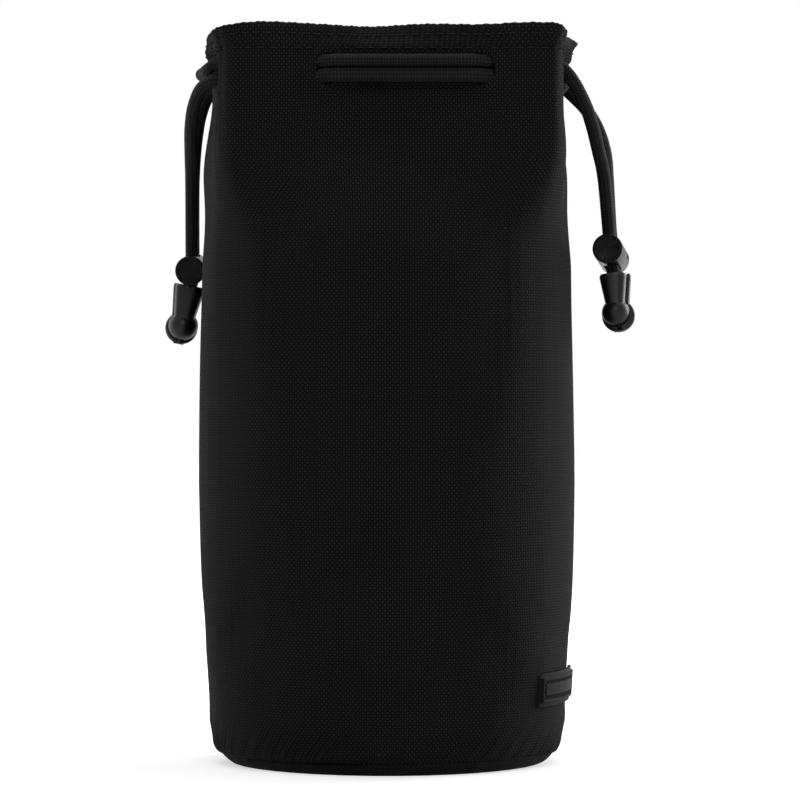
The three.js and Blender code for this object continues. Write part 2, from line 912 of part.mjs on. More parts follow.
function lock(side) {
  const group = new THREE.Group();
  group.add(lockBarrel(side + "_lock_barrel"));
  group.add(lockPlunger(side + "_lock_plunger"));
  group.add(lockSpring(side + "_lock_spring"));
  for (const mesh of group.children) {
    mesh.position.y = -clearSlotMiddle;
  }
  group.applyMatrix4(lockFrame(hangings[side]));
  return group;
}

// Cord end

const endSegments = 14;

// A ring of the cord end, an ellipse across its axis
function endRing(halfWidth, halfDepth, height) {
  const ring = [];
  for (let step = 0; step < endSegments; step++) {
    const angle = (2 * Math.PI * step) / endSegments;
    ring.push(new THREE.Vector3(halfWidth * Math.cos(angle), halfDepth * Math.sin(angle), height));
  }
  return ring;
}

// Hollow skittle form, open at its neck, drawn in on both sides by a step
function skittle(step) {
  const profile = (inset) => {
    const ball = ballRadius - inset;
    const depth = endHalfDepth - (inset - step);
    const rings = [-65, -40, -10, 20, 46].map((degrees) => {
      const angle = THREE.MathUtils.degToRad(degrees);
      return endRing(ball * Math.cos(angle), depth * Math.cos(Math.min(0, angle)), ball * Math.sin(angle));
    });
    rings.unshift(endRing(0, 0, -ball));
    const middle = (waistHeight + neckTopHeight) / 2;
    rings.push(endRing(waistRadius - inset, depth, waistHeight + cordRadius / 2));
    rings.push(endRing((waistRadius + neckTopRadius) / 2 - inset, depth, middle + cordRadius / 2));
    rings.push(endRing(neckTopRadius - inset, depth, neckTopHeight));
    return rings;
  };
  const outer = profile(step);
  const inner = profile(step + endWall).reverse();
  return new LoftGeometry([...outer, ...inner]);
}

// The half of a cord end in front of or behind the parting plane
function halfBox(front) {
  const size = 4 * neckTopHeight;
  const box = new THREE.BoxGeometry(size, size, size);
  const edge = front ? -partingDepth - partingGap / 2 : -partingDepth + partingGap / 2;
  return box.translate(0, front ? edge + size / 2 : edge - size / 2, 0);
}

const hingeHeight = -(ballRadius - endWall / 2);

function hingeCylinder(radius, length) {
  const cylinder = new THREE.CylinderGeometry(radius, radius, length, 8);
  return cylinder.rotateZ(Math.PI / 2).translate(0, -partingDepth, hingeHeight);
}

function endRearShell(name) {
  const knuckleRoom = hingeCylinder(knuckleRadius + fitGap, knuckleLength + 2 * fitGap);
  const shell = cut(skittle(0), [halfBox(false), knuckleRoom]);
  const earOuter = knuckleLength + 2 * fitGap + 2 * earThickness;
  const ears = cut(hingeCylinder(knuckleRadius, earOuter), [
    hingeCylinder(knuckleRadius + overrun, knuckleLength + 2 * fitGap),
  ]);
  const solid = solidOf(shell).add(solidOf(ears)).add(solidOf(hingeCylinder(pinRadius, earOuter)));
  return piece(name, geometryOf(solid), plastic);
}

function endFrontShell(name) {
  const earRoom = knuckleLength + 2 * fitGap + 2 * earThickness + 2 * fitGap;
  const shell = cut(skittle(lidStep), [halfBox(true)]);
  const reliefs = cut(hingeCylinder(knuckleRadius + fitGap, earRoom), [
    hingeCylinder(knuckleRadius + overrun, knuckleLength),
  ]);
  const knuckled = cut(shell, [reliefs]);
  const whole = solidOf(knuckled).add(solidOf(hingeCylinder(knuckleRadius, knuckleLength)));
  const bored = whole.subtract(solidOf(hingeCylinder(pinRadius + fitGap, knuckleLength + overrun)));
  return piece(name, geometryOf(bored), plastic);
}

function knot(name) {
  const geometry = new THREE.SphereGeometry(knotRadius, 10, 7);
  geometry.translate(0, knotSetback, knotTop - fitGap - cordRadius / 2 - knotRadius);
  return piece(name, geometry, braid);
}

function cordEnd(side) {
  const group = new THREE.Group();
  group.add(endRearShell(side + "_end_rear_shell"));
  group.add(endFrontShell(side + "_end_front_shell"));
  group.add(knot(side + "_knot"));
  group.applyMatrix4(endFrame(hangings[side]));
  return group;
}

// The whole pouch

const pouch = new THREE.Group();
const eyeletPlaces = Object.entries(eyeletShares).map(([name, share]) => eyeletPlace(name, share));
pouch.add(outerShell(eyeletPlaces));
pouch.add(foamWall());
pouch.add(innerLining());
pouch.add(baseShell());
const floor = bodyRadiusAt(seamHeight) - baseEdgeRound;
pouch.add(baseDisc("base_foam", shellThickness + layerGap, baseFoamThickness, floor, foam));
const liningFloor = floorHeight - liningThickness - layerGap;
const liningRadius = bodyRadiusAt(seamHeight) - liningInset - layerGap;
pouch.add(baseDisc("base_lining", liningFloor, liningThickness, liningRadius, liningCloth));
pouch.add(baseBinding());
pouch.add(labelPatch());
for (const place of eyeletPlaces) {
  pouch.add(...eyeletPieces(place));
}
pouch.add(...drawcordLoops());
for (const side of ["left", "right"]) {
  pouch.add(tail(side + "_tail_front", side, -1));
  pouch.add(tail(side + "_tail_rear", side, 1));
  pouch.add(lock(side));
  pouch.add(cordEnd(side));
}

export default pouch;
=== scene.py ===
import math

import bmesh
import bpy
import numpy as np
from mathutils import Matrix, Vector


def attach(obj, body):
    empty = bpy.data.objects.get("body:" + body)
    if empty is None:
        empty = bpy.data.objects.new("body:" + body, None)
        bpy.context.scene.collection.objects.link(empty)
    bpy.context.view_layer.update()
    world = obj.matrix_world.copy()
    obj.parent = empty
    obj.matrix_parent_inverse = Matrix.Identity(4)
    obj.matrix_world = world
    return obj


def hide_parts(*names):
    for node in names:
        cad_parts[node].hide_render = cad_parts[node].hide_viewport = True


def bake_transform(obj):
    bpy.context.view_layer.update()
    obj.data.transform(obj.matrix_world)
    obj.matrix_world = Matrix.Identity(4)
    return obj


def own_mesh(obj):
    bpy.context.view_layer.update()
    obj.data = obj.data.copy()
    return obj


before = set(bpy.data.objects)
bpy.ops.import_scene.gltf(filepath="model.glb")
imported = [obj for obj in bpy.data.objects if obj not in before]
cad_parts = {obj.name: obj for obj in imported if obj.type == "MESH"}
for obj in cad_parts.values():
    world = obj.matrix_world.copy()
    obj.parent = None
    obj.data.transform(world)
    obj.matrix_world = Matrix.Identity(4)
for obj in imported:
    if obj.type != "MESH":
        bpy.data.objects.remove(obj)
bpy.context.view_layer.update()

# Lengths are in millimetres until a mesh is made
MM = 0.001


# Curves through tables of points

def curve_through(points, shares, closed):
    """Places on the smooth curve through a table of points, at shares of its run."""
    count = len(points)
    if closed:
        place = (np.asarray(shares) % 1) * count
        first = np.floor(place).astype(int)
        held = points
        before = first - 1
    else:
        place = np.clip(shares, 0, 1) * (count - 1)
        first = np.minimum(np.floor(place).astype(int), count - 2)
        held = np.vstack([2 * points[0] - points[1], points, 2 * points[-1] - points[-2]])
        before = first
    part = (place - first)[:, None]
    p0, p1, p2, p3 = (held[(before + step) % len(held)] for step in range(4))
    gap0, gap1, gap2 = (np.maximum(np.linalg.norm(b - a, axis=1), 1e-6)[:, None] ** 0.5
                        for a, b in ((p0, p1), (p1, p2), (p2, p3)))
    leave = ((p1 - p0) / gap0 - (p2 - p0) / (gap0 + gap1) + (p2 - p1) / gap1) * gap1
    arrive = ((p2 - p1) / gap1 - (p3 - p1) / (gap1 + gap2) + (p3 - p2) / gap2) * gap1
    square = -3 * p1 + 3 * p2 - 2 * leave - arrive
    cube = 2 * p1 - 2 * p2 + leave + arrive
    return p1 + part * (leave + part * (square + part * cube))


def run_of(points):
    """Length from the first point to each point of a line."""
    steps = np.linalg.norm(np.diff(points, axis=0), axis=1)
    return np.concatenate([[0], np.cumsum(steps)])


def read_along(run, values, at):
    """Values given at runs of a line, read at other runs."""
    return np.stack([np.interp(at, run, values[:, axis]) for axis in range(3)], axis=1)


def evenly(points, spacing):
    """The same line with points at an even spacing."""
    run = run_of(points)
    count = max(2, int(round(run[-1] / spacing)) + 1)
    return read_along(run, points, np.linspace(0, run[-1], count))


# Small sums that many forms share

def smoothstep(value):
    value = np.clip(value, 0, 1)
    return value * value * (3 - 2 * value)


def bell(distance, width):
    return np.exp(-(distance / width) ** 2)


def unit(vectors):
    return vectors / np.maximum(np.linalg.norm(vectors, axis=-1), 1e-9)[..., None]


def from_ends(count):
    """How many steps each of a row lies from the nearer end."""
    return np.minimum(np.arange(count), np.arange(count)[::-1])


def even_turns(count):
    return np.arange(count) / count


def angles_round(count):
    return 2 * math.pi * even_turns(count)


def apart(turn, centre):
    """How far a turn is from another, the short way round."""
    return (turn - centre + 0.5) % 1 - 0.5


def about_axis(radius, angle, height):
    """Points about the upright axis through the base."""
    return np.stack(np.broadcast_arrays(radius * np.cos(angle), radius * np.sin(angle), height), axis=-1)


def arc(x, y, wide, high, start, end, count):
    """Points on part of an ellipse about a centre, from its half width and half height."""
    return [(x + wide * math.cos(a), y + high * math.sin(a)) for a in np.linspace(start, end, count)]


# Outline of the wall

BODY_RADIUS = 55.8
POUCH_HEIGHT = 218
SEAM_HEIGHT = 4.3
HEM_DEPTH = 6.5
BAND_TOP = POUCH_HEIGHT - HEM_DEPTH
BAND_BOTTOM = BAND_TOP - 12.5
GATHER_START = BAND_BOTTOM - 50
GATHER_SWELL = 2.4
CORD_LEVEL = (BAND_BOTTOM + BAND_TOP) / 2
CLOTH_WIDTH = 2 * math.pi * BODY_RADIUS

BODY_PROFILE = np.array([[0, .9], [.06, .958], [.15, .979], [.385, 1], [.68, 1], [.76, .984], [.92, .965]])
COLLAR = BODY_RADIUS * np.array([
    [.9, .02, 0], [.892, .22, 0], [.89, .42, 0], [.905, .55, 0], [.92, .66, 0], [.83, .74, 0],
    [.68, .745, 0], [.41, .715, 0], [.09, .7, 0], [-.2, .705, 0], [-.41, .715, 0], [-.66, .75, 0],
    [-.83, .75, 0], [-.925, .65, 0], [-.915, .53, 0], [-.91, .4, 0], [-.928, .2, 0], [-.94, .02, 0],
    [-.914, -.16, 0], [-.894, -.35, 0], [-.887, -.5, 0], [-.83, -.638, 0], [-.68, -.675, 0],
    [-.33, -.645, 0], [.09, -.628, 0], [.51, -.645, 0], [.76, -.68, 0], [.885, -.64, 0],
    [.925, -.51, 0], [.909, -.34, 0]])
RIM = np.array([
    [.98, .02, -.005], [1, .24, -.004], [1.025, .46, -.002], [1.05, .6, 0], [1.06, .71, .001],
    [.95, .785, .002], [.74, .765, 0], [.43, .73, -.003], [.09, .7, -.006], [-.22, .715, -.003],
    [-.45, .735, 0], [-.71, .765, .001], [-.89, .765, 0], [-1, .66, -.001], [-1.005, .53, -.002],
    [-.985, .39, -.004], [-.98, .2, -.004], [-.975, .02, -.004], [-.96, -.17, -.003],
    [-.935, -.37, -.003], [-.918, -.53, -.003], [-.855, -.645, 0], [-.68, -.65, .005],
    [-.34, -.585, .003], [0, -.525, -.001], [.42, -.6, .001], [.78, -.68, .003], [.91, -.68, -.002],
    [.95, -.55, -.005], [.955, -.34, -.006]]) * [BODY_RADIUS, BODY_RADIUS, POUCH_HEIGHT]

collar_stops = np.linspace(0, 1, 3001)
collar_run = run_of(curve_through(COLLAR, np.append(collar_stops[:-1], 0), True))
COLLAR_LENGTH = collar_run[-1]
collar_turns = collar_run / COLLAR_LENGTH

EYELETS = {
    "right_rear": .0667, "back_right": .2333, "back_left": .3333, "left_rear": .5,
    "left_front": .6333, "front_left": .7667, "front_right": .8333, "right_front": .9667}


def turn_at(share):
    """Share of the collar's length at a share of its curve."""
    return np.interp(share, collar_stops, collar_turns)


# Where the rim is drawn up: share of the collar's curve, rise and reach in shares
RIM_RISES = [(1.25 / 30, 1.3, 0.045), (2.9 / 30, 0.8, 0.04), (24.4 / 30, 1.0, 0.018), (26.9 / 30, 0.8, 0.02)]


def outside(turn, height):
    """The wall's outer face at a turn round it, from 0 to 1, and a height."""
    turn, height = (np.ravel(array) for array in np.broadcast_arrays(turn, height))
    share = np.interp(turn % 1, collar_turns, collar_stops)
    radius = BODY_RADIUS * np.interp(np.minimum(height, BAND_BOTTOM) / POUCH_HEIGHT, *BODY_PROFILE.T)
    angle = 2 * math.pi * turn
    place = about_axis(radius, angle, 0)
    gather = smoothstep((height - GATHER_START) / (BAND_BOTTOM - GATHER_START))
    place += gather[:, None] * (curve_through(COLLAR, share, True) - place)
    place += about_axis(GATHER_SWELL * np.sin(math.pi * gather ** 1.5), angle, 0)
    flare = np.clip((height - BAND_TOP) / (POUCH_HEIGHT - BAND_TOP), 0, 1)
    place += flare[:, None] * (curve_through(RIM, share, True) - place)
    place[:, 2] += height
    for centre, rise, reach in RIM_RISES:
        place[:, 2] += rise * flare * bell(apart(share, centre), reach)
    return place


def outward(turn, height, reach=0.03):
    """Level direction out of the wall, evened over a reach to both sides."""
    along = outside(turn + reach, height) - outside(turn - reach, height)
    return unit(np.stack([along[:, 1], -along[:, 0], 0 * along[:, 0]], axis=1))


# Meshes

def in_scene(name, data):
    made = bpy.data.objects.new(name, data)
    bpy.context.scene.collection.objects.link(made)
    return made


def make_piece(name, points, faces, material, threads=None, sharp=None):
    """A piece from points and faces, with thread coordinates for its faces' corners."""
    mesh = bpy.data.meshes.new(name)
    faces = faces.tolist() if isinstance(faces, np.ndarray) else faces
    mesh.from_pydata((np.reshape(points, (-1, 3)) * MM).tolist(), [], faces)
    mesh.validate()
    mesh.polygons.foreach_set("use_smooth", [True] * len(mesh.polygons))
    if threads is not None:
        layer = mesh.uv_layers.new(name="threads")
        layer.data.foreach_set("uv", np.asarray(threads, np.float32).ravel())
    if sharp is not None:
        mesh.set_sharp_from_angle(angle=math.radians(sharp))
    mesh.materials.append(material)
    return in_scene(name, mesh)


def grid_faces(rows, columns, closed=True, looped=False):
    """Four-sided faces of a grid, and each corner's row and column."""
    row, column = np.meshgrid(np.arange(rows if looped else rows - 1),
                              np.arange(columns if closed else columns - 1), indexing="ij")
    corner_rows = np.stack([row, row, row + 1, row + 1], axis=-1).reshape(-1, 4)
    corner_columns = np.stack([column, column + 1, column + 1, column], axis=-1).reshape(-1, 4)
    return (corner_rows % rows) * columns + corner_columns % columns, corner_rows, corner_columns


def grid_piece(name, points, across, up, material, looped=False, keep=None):
    """A piece from rows of points. across and up give the thread coordinates of columns and rows."""
    faces, corner_rows, corner_columns = grid_faces(*points.shape[:2], looped=looped)
    if keep is not None:
        kept = keep[faces].all(axis=1)
        faces, corner_rows, corner_columns = faces[kept], corner_rows[kept], corner_columns[kept]
    threads = np.stack([across[corner_columns], up[corner_rows]], axis=-1)
    return make_piece(name, points, faces, material, threads)


def end_caps(rows, columns):
    """Faces over the first and the last of some rows of points."""
    last = (rows - 1) * columns
    return [list(range(columns))[::-1], list(range(last, last + columns))]


def face_outward(piece):
    """Turns every face of a closed piece outward."""
    bm = bmesh.new()
    bm.from_mesh(piece.data)
    bmesh.ops.recalc_face_normals(bm, faces=bm.faces)
    bm.to_mesh(piece.data)
    bm.free()
    return piece


def solid_of_rows(name, points, material, looped=False, sharp=None):
    """A solid from rows of points round it, closed at both ends or looped from the last row to the first."""
    faces = grid_faces(*points.shape[:2], looped=looped)[0].tolist()
    if not looped:
        faces += end_caps(*points.shape[:2])
    return face_outward(make_piece(name, points, faces, material, sharp=sharp))


def turned(name, profile, segments, material, sharp=40):
    """A body of revolution about Y. The profile goes from one end to the other as (radius, place)."""
    looped = profile[0] == profile[-1]
    radius, place = np.array(profile[:-1] if looped else profile).T[..., None]
    angle = angles_round(segments)
    points = np.stack(np.broadcast_arrays(radius * np.cos(angle), place, radius * np.sin(angle)), axis=-1)
    return solid_of_rows(name, points, material, looped, sharp)


def tube_points(line, radius, sides):
    """Rows of points round a line, not twisted about it. There is one radius, or one a point."""
    tangents = unit(np.gradient(line, axis=0))
    normal = np.cross(tangents[0], [0, 0, 1.0])
    if np.linalg.norm(normal) < 0.2:
        normal = np.cross(tangents[0], [1.0, 0, 0])
    normals = []
    for tangent in tangents:
        normal = unit(normal - tangent * (normal @ tangent))
        normals.append(normal)
    normals = np.array(normals)[:, None]
    angle = angles_round(sides)[None, :, None]
    radius = np.broadcast_to(radius, (len(line), sides))[..., None]
    across = np.cross(tangents[:, None], normals)
    return line[:, None] + radius * (np.cos(angle) * normals + np.sin(angle) * across)


def weave_height(a, b):
    """Height of a plain weave whose threads are one unit wide, from 0 to 1."""
    def crown(across, along, sign):
        wave = np.cos(math.pi * (along - 0.5 + np.floor(across)))
        return np.sqrt(np.clip(1 - (2 * (across % 1) - 1) ** 2, 0, 1)) * (0.5 + 0.5 * sign * wave)

    return np.maximum(crown(a, b, 1), crown(b, a, -1))


STRAND_PITCH = 0.85
BRAID_SPACING = 0.22


def braided_cord(name, line, diameter, sides=40, strands=10, relief=0.2):
    """A cord whose sheath is braided of strands that cross. It narrows at its cut ends."""
    line = evenly(line, BRAID_SPACING)
    rows = len(line)
    along = run_of(line)[:, None] / STRAND_PITCH
    around = strands * np.arange(sides + 1) / sides
    a, b = around + along, around - along
    radius = diameter / 2 + relief * (weave_height(a[:, :-1] + 1e-4, b[:, :-1] + 1e-4) - 0.75)
    radius *= (0.82 + 0.18 * np.sqrt(np.minimum(1, from_ends(rows) / 3)))[:, None]
    faces, corner_rows, corner_columns = grid_faces(rows, sides)
    threads = np.stack([a[corner_rows, corner_columns], b[corner_rows, corner_columns]], axis=-1)
    threads = np.vstack([threads.reshape(-1, 2), np.zeros((2 * sides, 2))])
    faces = faces.tolist() + end_caps(rows, sides)
    return make_piece(name, tube_points(line, radius, sides), faces, cord_sheath, threads)


def stitch_row(name, line, outs, length=2.3, gap=1.3, thickness=0.46, sunk=0.04, closed=True):
    """Stitches along a line, each an arched thread that dips into the cloth at both ends."""
    if closed:
        line, outs = np.vstack([line, line[:1]]), np.vstack([outs, outs[:1]])
    run = run_of(line)
    count = int(run[-1] // (length + gap))
    pitch = run[-1] / count
    rings = sides = 7
    part = np.linspace(0, 1, rings)
    stops = (np.arange(count)[:, None] * pitch + gap / 2 + part * (pitch - gap)).ravel()
    out = unit(read_along(run, outs, stops))
    tangent = unit(read_along(run, line, stops + 0.1) - read_along(run, line, stops - 0.1))
    beside = unit(np.cross(out, tangent))
    rise = np.tile(np.sin(math.pi * part) ** 0.6, count) * thickness * 0.55 - sunk + thickness * 0.2
    radius = thickness / 2 * np.tile(np.sqrt(np.clip(1.02 - (2 * part - 1) ** 4, 0.02, 1)), count)
    centre = read_along(run, line, stops) + out * rise[:, None]
    angle = angles_round(sides)[None, :, None]
    section = np.cos(angle) * beside[:, None] + np.sin(angle) * out[:, None]
    points = centre[:, None] + radius[:, None, None] * section
    one = [face[::-1] for face in grid_faces(rings, sides)[0].tolist() + end_caps(rings, sides)]
    starts = range(0, count * rings * sides, rings * sides)
    faces = [[start + corner for corner in face] for start in starts for face in one]
    return make_piece(name, points, faces, hem_thread)


def moved(piece, matrix):
    """Moves a piece's mesh by a frame given in millimetres."""
    matrix = matrix.copy()
    matrix.translation = matrix.translation * MM
    piece.data.transform(matrix)
    return piece


def settle(piece):
    """Replaces a piece's mesh by the result of its modifiers."""
    graph = bpy.context.evaluated_depsgraph_get()
    made = bpy.data.meshes.new_from_object(piece.evaluated_get(graph), depsgraph=graph)
    piece.modifiers.clear()
    old, piece.data = piece.data, made
    name = old.name
    bpy.data.meshes.remove(old)
    made.name = name


def carved(piece, *cutters, operation="DIFFERENCE"):
    """Cuts a piece with others, or joins or crosses them, and removes the others."""
    for cutter in cutters:
        step = piece.modifiers.new("carve", "BOOLEAN")
        step.operation, step.solver, step.object = operation, "EXACT", cutter
    settle(piece)
    for cutter in cutters:
        bpy.data.objects.remove(cutter)
    return piece


def softened(piece, width):
    """Rounds the hard edges of a moulded piece."""
    step = piece.modifiers.new("soften", "BEVEL")
    step.width = width * MM
    step.segments = 2
    step.limit_method = "ANGLE"
    step.angle_limit = math.radians(35)
    step.use_clamp_overlap = step.harden_normals = True
    settle(piece)
    piece.data.polygons.foreach_set("use_smooth", [True] * len(piece.data.polygons))
    piece.data.set_sharp_from_angle(angle=math.radians(50))


# Shader nodes

def link(tree, socket, value):
    """Links a socket to another, or sets it."""
    if isinstance(value, bpy.types.NodeSocket):
        tree.links.new(value, socket)
    else:
        socket.default_value = value


def add(tree, kind, inputs=None, **settings):
    """A node with its settings, and its inputs linked or set."""
    made = tree.nodes.new(kind)
    for key, value in settings.items():
        setattr(made, key, value)
    for key, value in (inputs or {}).items():
        link(tree, made.inputs[key], value)
    return made


def calc(tree, operation, *values):
    """The result of a sum of sockets and numbers. A tuple among them is a sum of its own."""
    values = [calc(tree, *value) if isinstance(value, tuple) else value for value in values]
    return add(tree, "ShaderNodeMath", dict(enumerate(values)), operation=operation).outputs[0]


def vector(tree, operation, first, second):
    """A sum with a vector. For SCALE the second value is a number."""
    second_key = "Scale" if operation == "SCALE" else 1
    return add(tree, "ShaderNodeVectorMath", {0: first, second_key: second}, operation=operation).outputs[0]


def blend_colors(tree, share, first, second):
    return add(tree, "ShaderNodeMix", {0: share, 6: first, 7: second}, data_type="RGBA").outputs[2]


def noise(tree, place, scale, detail, output="Fac"):
    inputs = {"Vector": place, "Scale": scale, "Detail": detail}
    return add(tree, "ShaderNodeTexNoise", inputs).outputs[output]


def remap(tree, value, low, high, from_low=0.0, from_high=1.0):
    inputs = {"Value": value, "From Min": from_low, "From Max": from_high, "To Min": low, "To Max": high}
    return add(tree, "ShaderNodeMapRange", inputs).outputs[0]


def object_place(tree):
    return add(tree, "ShaderNodeTexCoord").outputs["Object"]


def effect(name, inputs, *outputs):
    """An empty node group and its two ends. An input without a value is a vector, all else are numbers."""
    tree = bpy.data.node_groups.new(name, "ShaderNodeTree")
    for socket, value in inputs.items():
        kind = "NodeSocketVector" if value is None else "NodeSocketFloat"
        made = tree.interface.new_socket(socket, in_out="INPUT", socket_type=kind)
        if value is not None:
            made.default_value = value
    for socket in outputs:
        tree.interface.new_socket(socket, in_out="OUTPUT", socket_type="NodeSocketFloat")
    return tree, tree.nodes.new("NodeGroupInput").outputs, tree.nodes.new("NodeGroupOutput").inputs


def place_group(tree, group, inputs):
    return add(tree, "ShaderNodeGroup", inputs, node_tree=group).outputs


def weave_effect():
    """Plain weave: its height, which thread lies on top, and the filaments along the threads."""
    tree, start, end = effect(
        "plain weave", {"Threads": None, "Irregularity": 0.1}, "Height", "Warp", "Fibres")
    shift = vector(tree, "SUBTRACT", noise(tree, start["Threads"], 0.35, 3.0, "Color"), (0.5, 0.5, 0.5))
    threads = vector(tree, "ADD", start["Threads"], vector(tree, "SCALE", shift, start["Irregularity"]))
    parts = add(tree, "ShaderNodeSeparateXYZ", {0: threads}).outputs

    def crown(across, along, sign):
        phase = ("ADD", ("SUBTRACT", along, 0.5), ("FLOOR", across))
        wave = calc(tree, "COSINE", ("MULTIPLY", math.pi, phase))
        side = calc(tree, "SUBTRACT", ("MULTIPLY", ("FRACT", across), 2.0), 1.0)
        round_top = ("SQRT", ("MAXIMUM", ("SUBTRACT", 1.0, ("MULTIPLY", side, side)), 0.0))
        return calc(tree, "MULTIPLY", round_top, ("ADD", 0.5, ("MULTIPLY", wave, 0.5 * sign)))

    def filaments(stretch):
        return noise(tree, vector(tree, "MULTIPLY", threads, stretch), 1.0, 1.0)

    warp, weft = crown(parts[0], parts[1], 1.0), crown(parts[1], parts[0], -1.0)
    upper = calc(tree, "GREATER_THAN", warp, weft)
    fibres = calc(tree, "ADD", ("MULTIPLY", filaments((9.0, 1.2, 1.0)), upper),
                  ("MULTIPLY", filaments((1.2, 9.0, 1.0)), ("SUBTRACT", 1.0, upper)))
    link(tree, end["Height"], calc(tree, "MAXIMUM", warp, weft))
    link(tree, end["Warp"], upper)
    link(tree, end["Fibres"], fibres)
    return tree


def grain_effect():
    """Fine moulded grain and a slow variation of tone."""
    tree, start, end = effect("grain", {"Size": 1.0}, "Grain", "Patches")
    place = object_place(tree)
    link(tree, end["Grain"], noise(tree, place, calc(tree, "DIVIDE", 1000.0, start["Size"]), 3.0))
    link(tree, end["Patches"], noise(tree, place, 35.0, 3.0))
    return tree


def wear_and_highlight_effect():
    """Wear on edges that stand out, broken up by scratches. Its lighter tone also paints a highlight on those
    edges.
    """
    tree, start, end = effect("edge wear and highlight", {"Reach": 0.55}, "Worn and highlight")
    shape = add(tree, "ShaderNodeNewGeometry").outputs
    edge = ("MULTIPLY", ("SUBTRACT", shape["Pointiness"], start["Reach"]), 12.0)
    broken = calc(tree, "MULTIPLY", edge, ("MULTIPLY", noise(tree, object_place(tree), 900.0, 4.0), 1.6))
    link(tree, end["Worn and highlight"], add(tree, "ShaderNodeClamp", {0: broken}).outputs[0])
    return tree


def dust_effect():
    """Sparse specks of lint and dust."""
    tree, start, end = effect("dust", {"Amount": 0.3, "Size": 1.0}, "Dust")
    scale = calc(tree, "DIVIDE", 420.0, start["Size"])
    specks = add(tree, "ShaderNodeTexVoronoi", {"Vector": object_place(tree), "Scale": scale}).outputs
    cells = add(tree, "ShaderNodeSeparateColor", {0: specks["Color"]}).outputs
    chosen = ("GREATER_THAN", cells[0], ("SUBTRACT", 1.0, ("MULTIPLY", start["Amount"], 0.2)))
    link(tree, end["Dust"], calc(tree, "MULTIPLY", ("LESS_THAN", specks["Distance"], 0.16), chosen))
    return tree


weave = weave_effect()
grain = grain_effect()
edge_wear_and_highlight = wear_and_highlight_effect()
dust = dust_effect()


def tone(level):
    """A grey given as its 8-bit screen value, as a linear colour."""
    linear = ((level / 255 + 0.055) / 1.055) ** 2.4 if level > 10 else level / 255 / 12.92
    return (linear, linear, linear, 1)


def new_material(name, roughness, specular, sheen=0.0, metallic=0.0):
    made = bpy.data.materials.new(name)
    made.use_nodes = True
    shader = made.node_tree.nodes["Principled BSDF"]
    for key, value in (("Roughness", roughness), ("Specular IOR Level", specular), ("Sheen Weight", sheen),
                       ("Sheen Roughness", 0.4), ("Metallic", metallic)):
        shader.inputs[key].default_value = value
    return made, made.node_tree, shader


def set_surface(tree, shader, color, roughness, height, distance, strength):
    """Gives a shader its colour and roughness, and a relief with its distance in millimetres."""
    bump = add(tree, "ShaderNodeBump", {"Height": height, "Distance": distance * MM, "Strength": strength})
    link(tree, shader.inputs["Base Color"], color)
    link(tree, shader.inputs["Roughness"], roughness)
    link(tree, shader.inputs["Normal"], bump.outputs[0])


def woven(name, warp, weft, gap, pitch, bump, sheen,
          specular=0.06, irregularity=0.25, roughness=0.75, lint=0.02):
    """Cloth, tape or braid: tones for the two sets of threads and the gaps between them. The gap tone is
    painted shade in the hollows of the weave, and the warp's lighter tone is a painted highlight on the
    threads that catch the light.
    """
    made, tree, shader = new_material(name, roughness, specular, sheen)
    place = add(tree, "ShaderNodeUVMap", uv_map="threads").outputs[0]
    threads = vector(tree, "MULTIPLY", place, (1 / pitch[0], 1 / pitch[1], 1.0))
    cloth = place_group(tree, weave, {"Threads": threads, "Irregularity": irregularity})
    patches = place_group(tree, grain, {"Size": 0.5})["Patches"]
    specks = place_group(tree, dust, {"Amount": lint, "Size": 0.5})["Dust"]
    # The warp's lighter tone is a painted highlight on the threads that catch the light
    yarn = blend_colors(tree, cloth["Warp"], tone(weft), tone(warp))
    # Low places of the weave take the gap tone: painted shade between the threads
    color = blend_colors(tree, remap(tree, cloth["Height"], 0.0, 1.0, 0.3, 0.8), tone(gap), yarn)
    shade, fibre = remap(tree, patches, 0.72, 1.3), remap(tree, cloth["Fibres"], 0.7, 1.35)
    shaded = vector(tree, "SCALE", color, calc(tree, "MULTIPLY", shade, fibre))
    final = blend_colors(tree, calc(tree, "MULTIPLY", specks, 0.25), shaded, tone(120))
    rough = remap(tree, cloth["Fibres"], roughness - 0.12, roughness + 0.12)
    height = calc(tree, "ADD", cloth["Height"], ("MULTIPLY", cloth["Fibres"], 0.18))
    set_surface(tree, shader, final, rough, height, bump, 1.0)
    return made


def moulded(name, level, worn_and_highlight_tone, roughness, specular, grain_size, bump, wear_and_highlight_reach=0.54, metallic=0.0):
    """Plastic, rubber or metal with a fine grain, lighter edges from wear that also stand for a painted
    highlight on the rims, and a little dust.
    """
    made, tree, shader = new_material(name, roughness, specular, metallic=metallic)
    skin = place_group(tree, grain, {"Size": grain_size})
    wear_and_rim_highlight = place_group(tree, edge_wear_and_highlight, {"Reach": wear_and_highlight_reach})["Worn and highlight"]
    specks = place_group(tree, dust, {"Amount": 0.03, "Size": 0.7})["Dust"]
    plain = blend_colors(tree, skin["Patches"], tone(level * 0.85), tone(level * 1.15))
    # Edges that stand out take the lighter tone: wear, and a painted highlight on the rims
    color = blend_colors(tree, wear_and_rim_highlight, plain, tone(worn_and_highlight_tone))
    final = blend_colors(tree, calc(tree, "MULTIPLY", specks, 0.4), color, tone(110))
    spread = 0.12
    uneven = ("ADD", ("MULTIPLY", skin["Patches"], spread), roughness - spread / 2)
    rough = calc(tree, "SUBTRACT", uneven, ("MULTIPLY", wear_and_rim_highlight, 0.08))
    set_surface(tree, shader, final, rough, skin["Grain"], bump, 0.6)
    return made
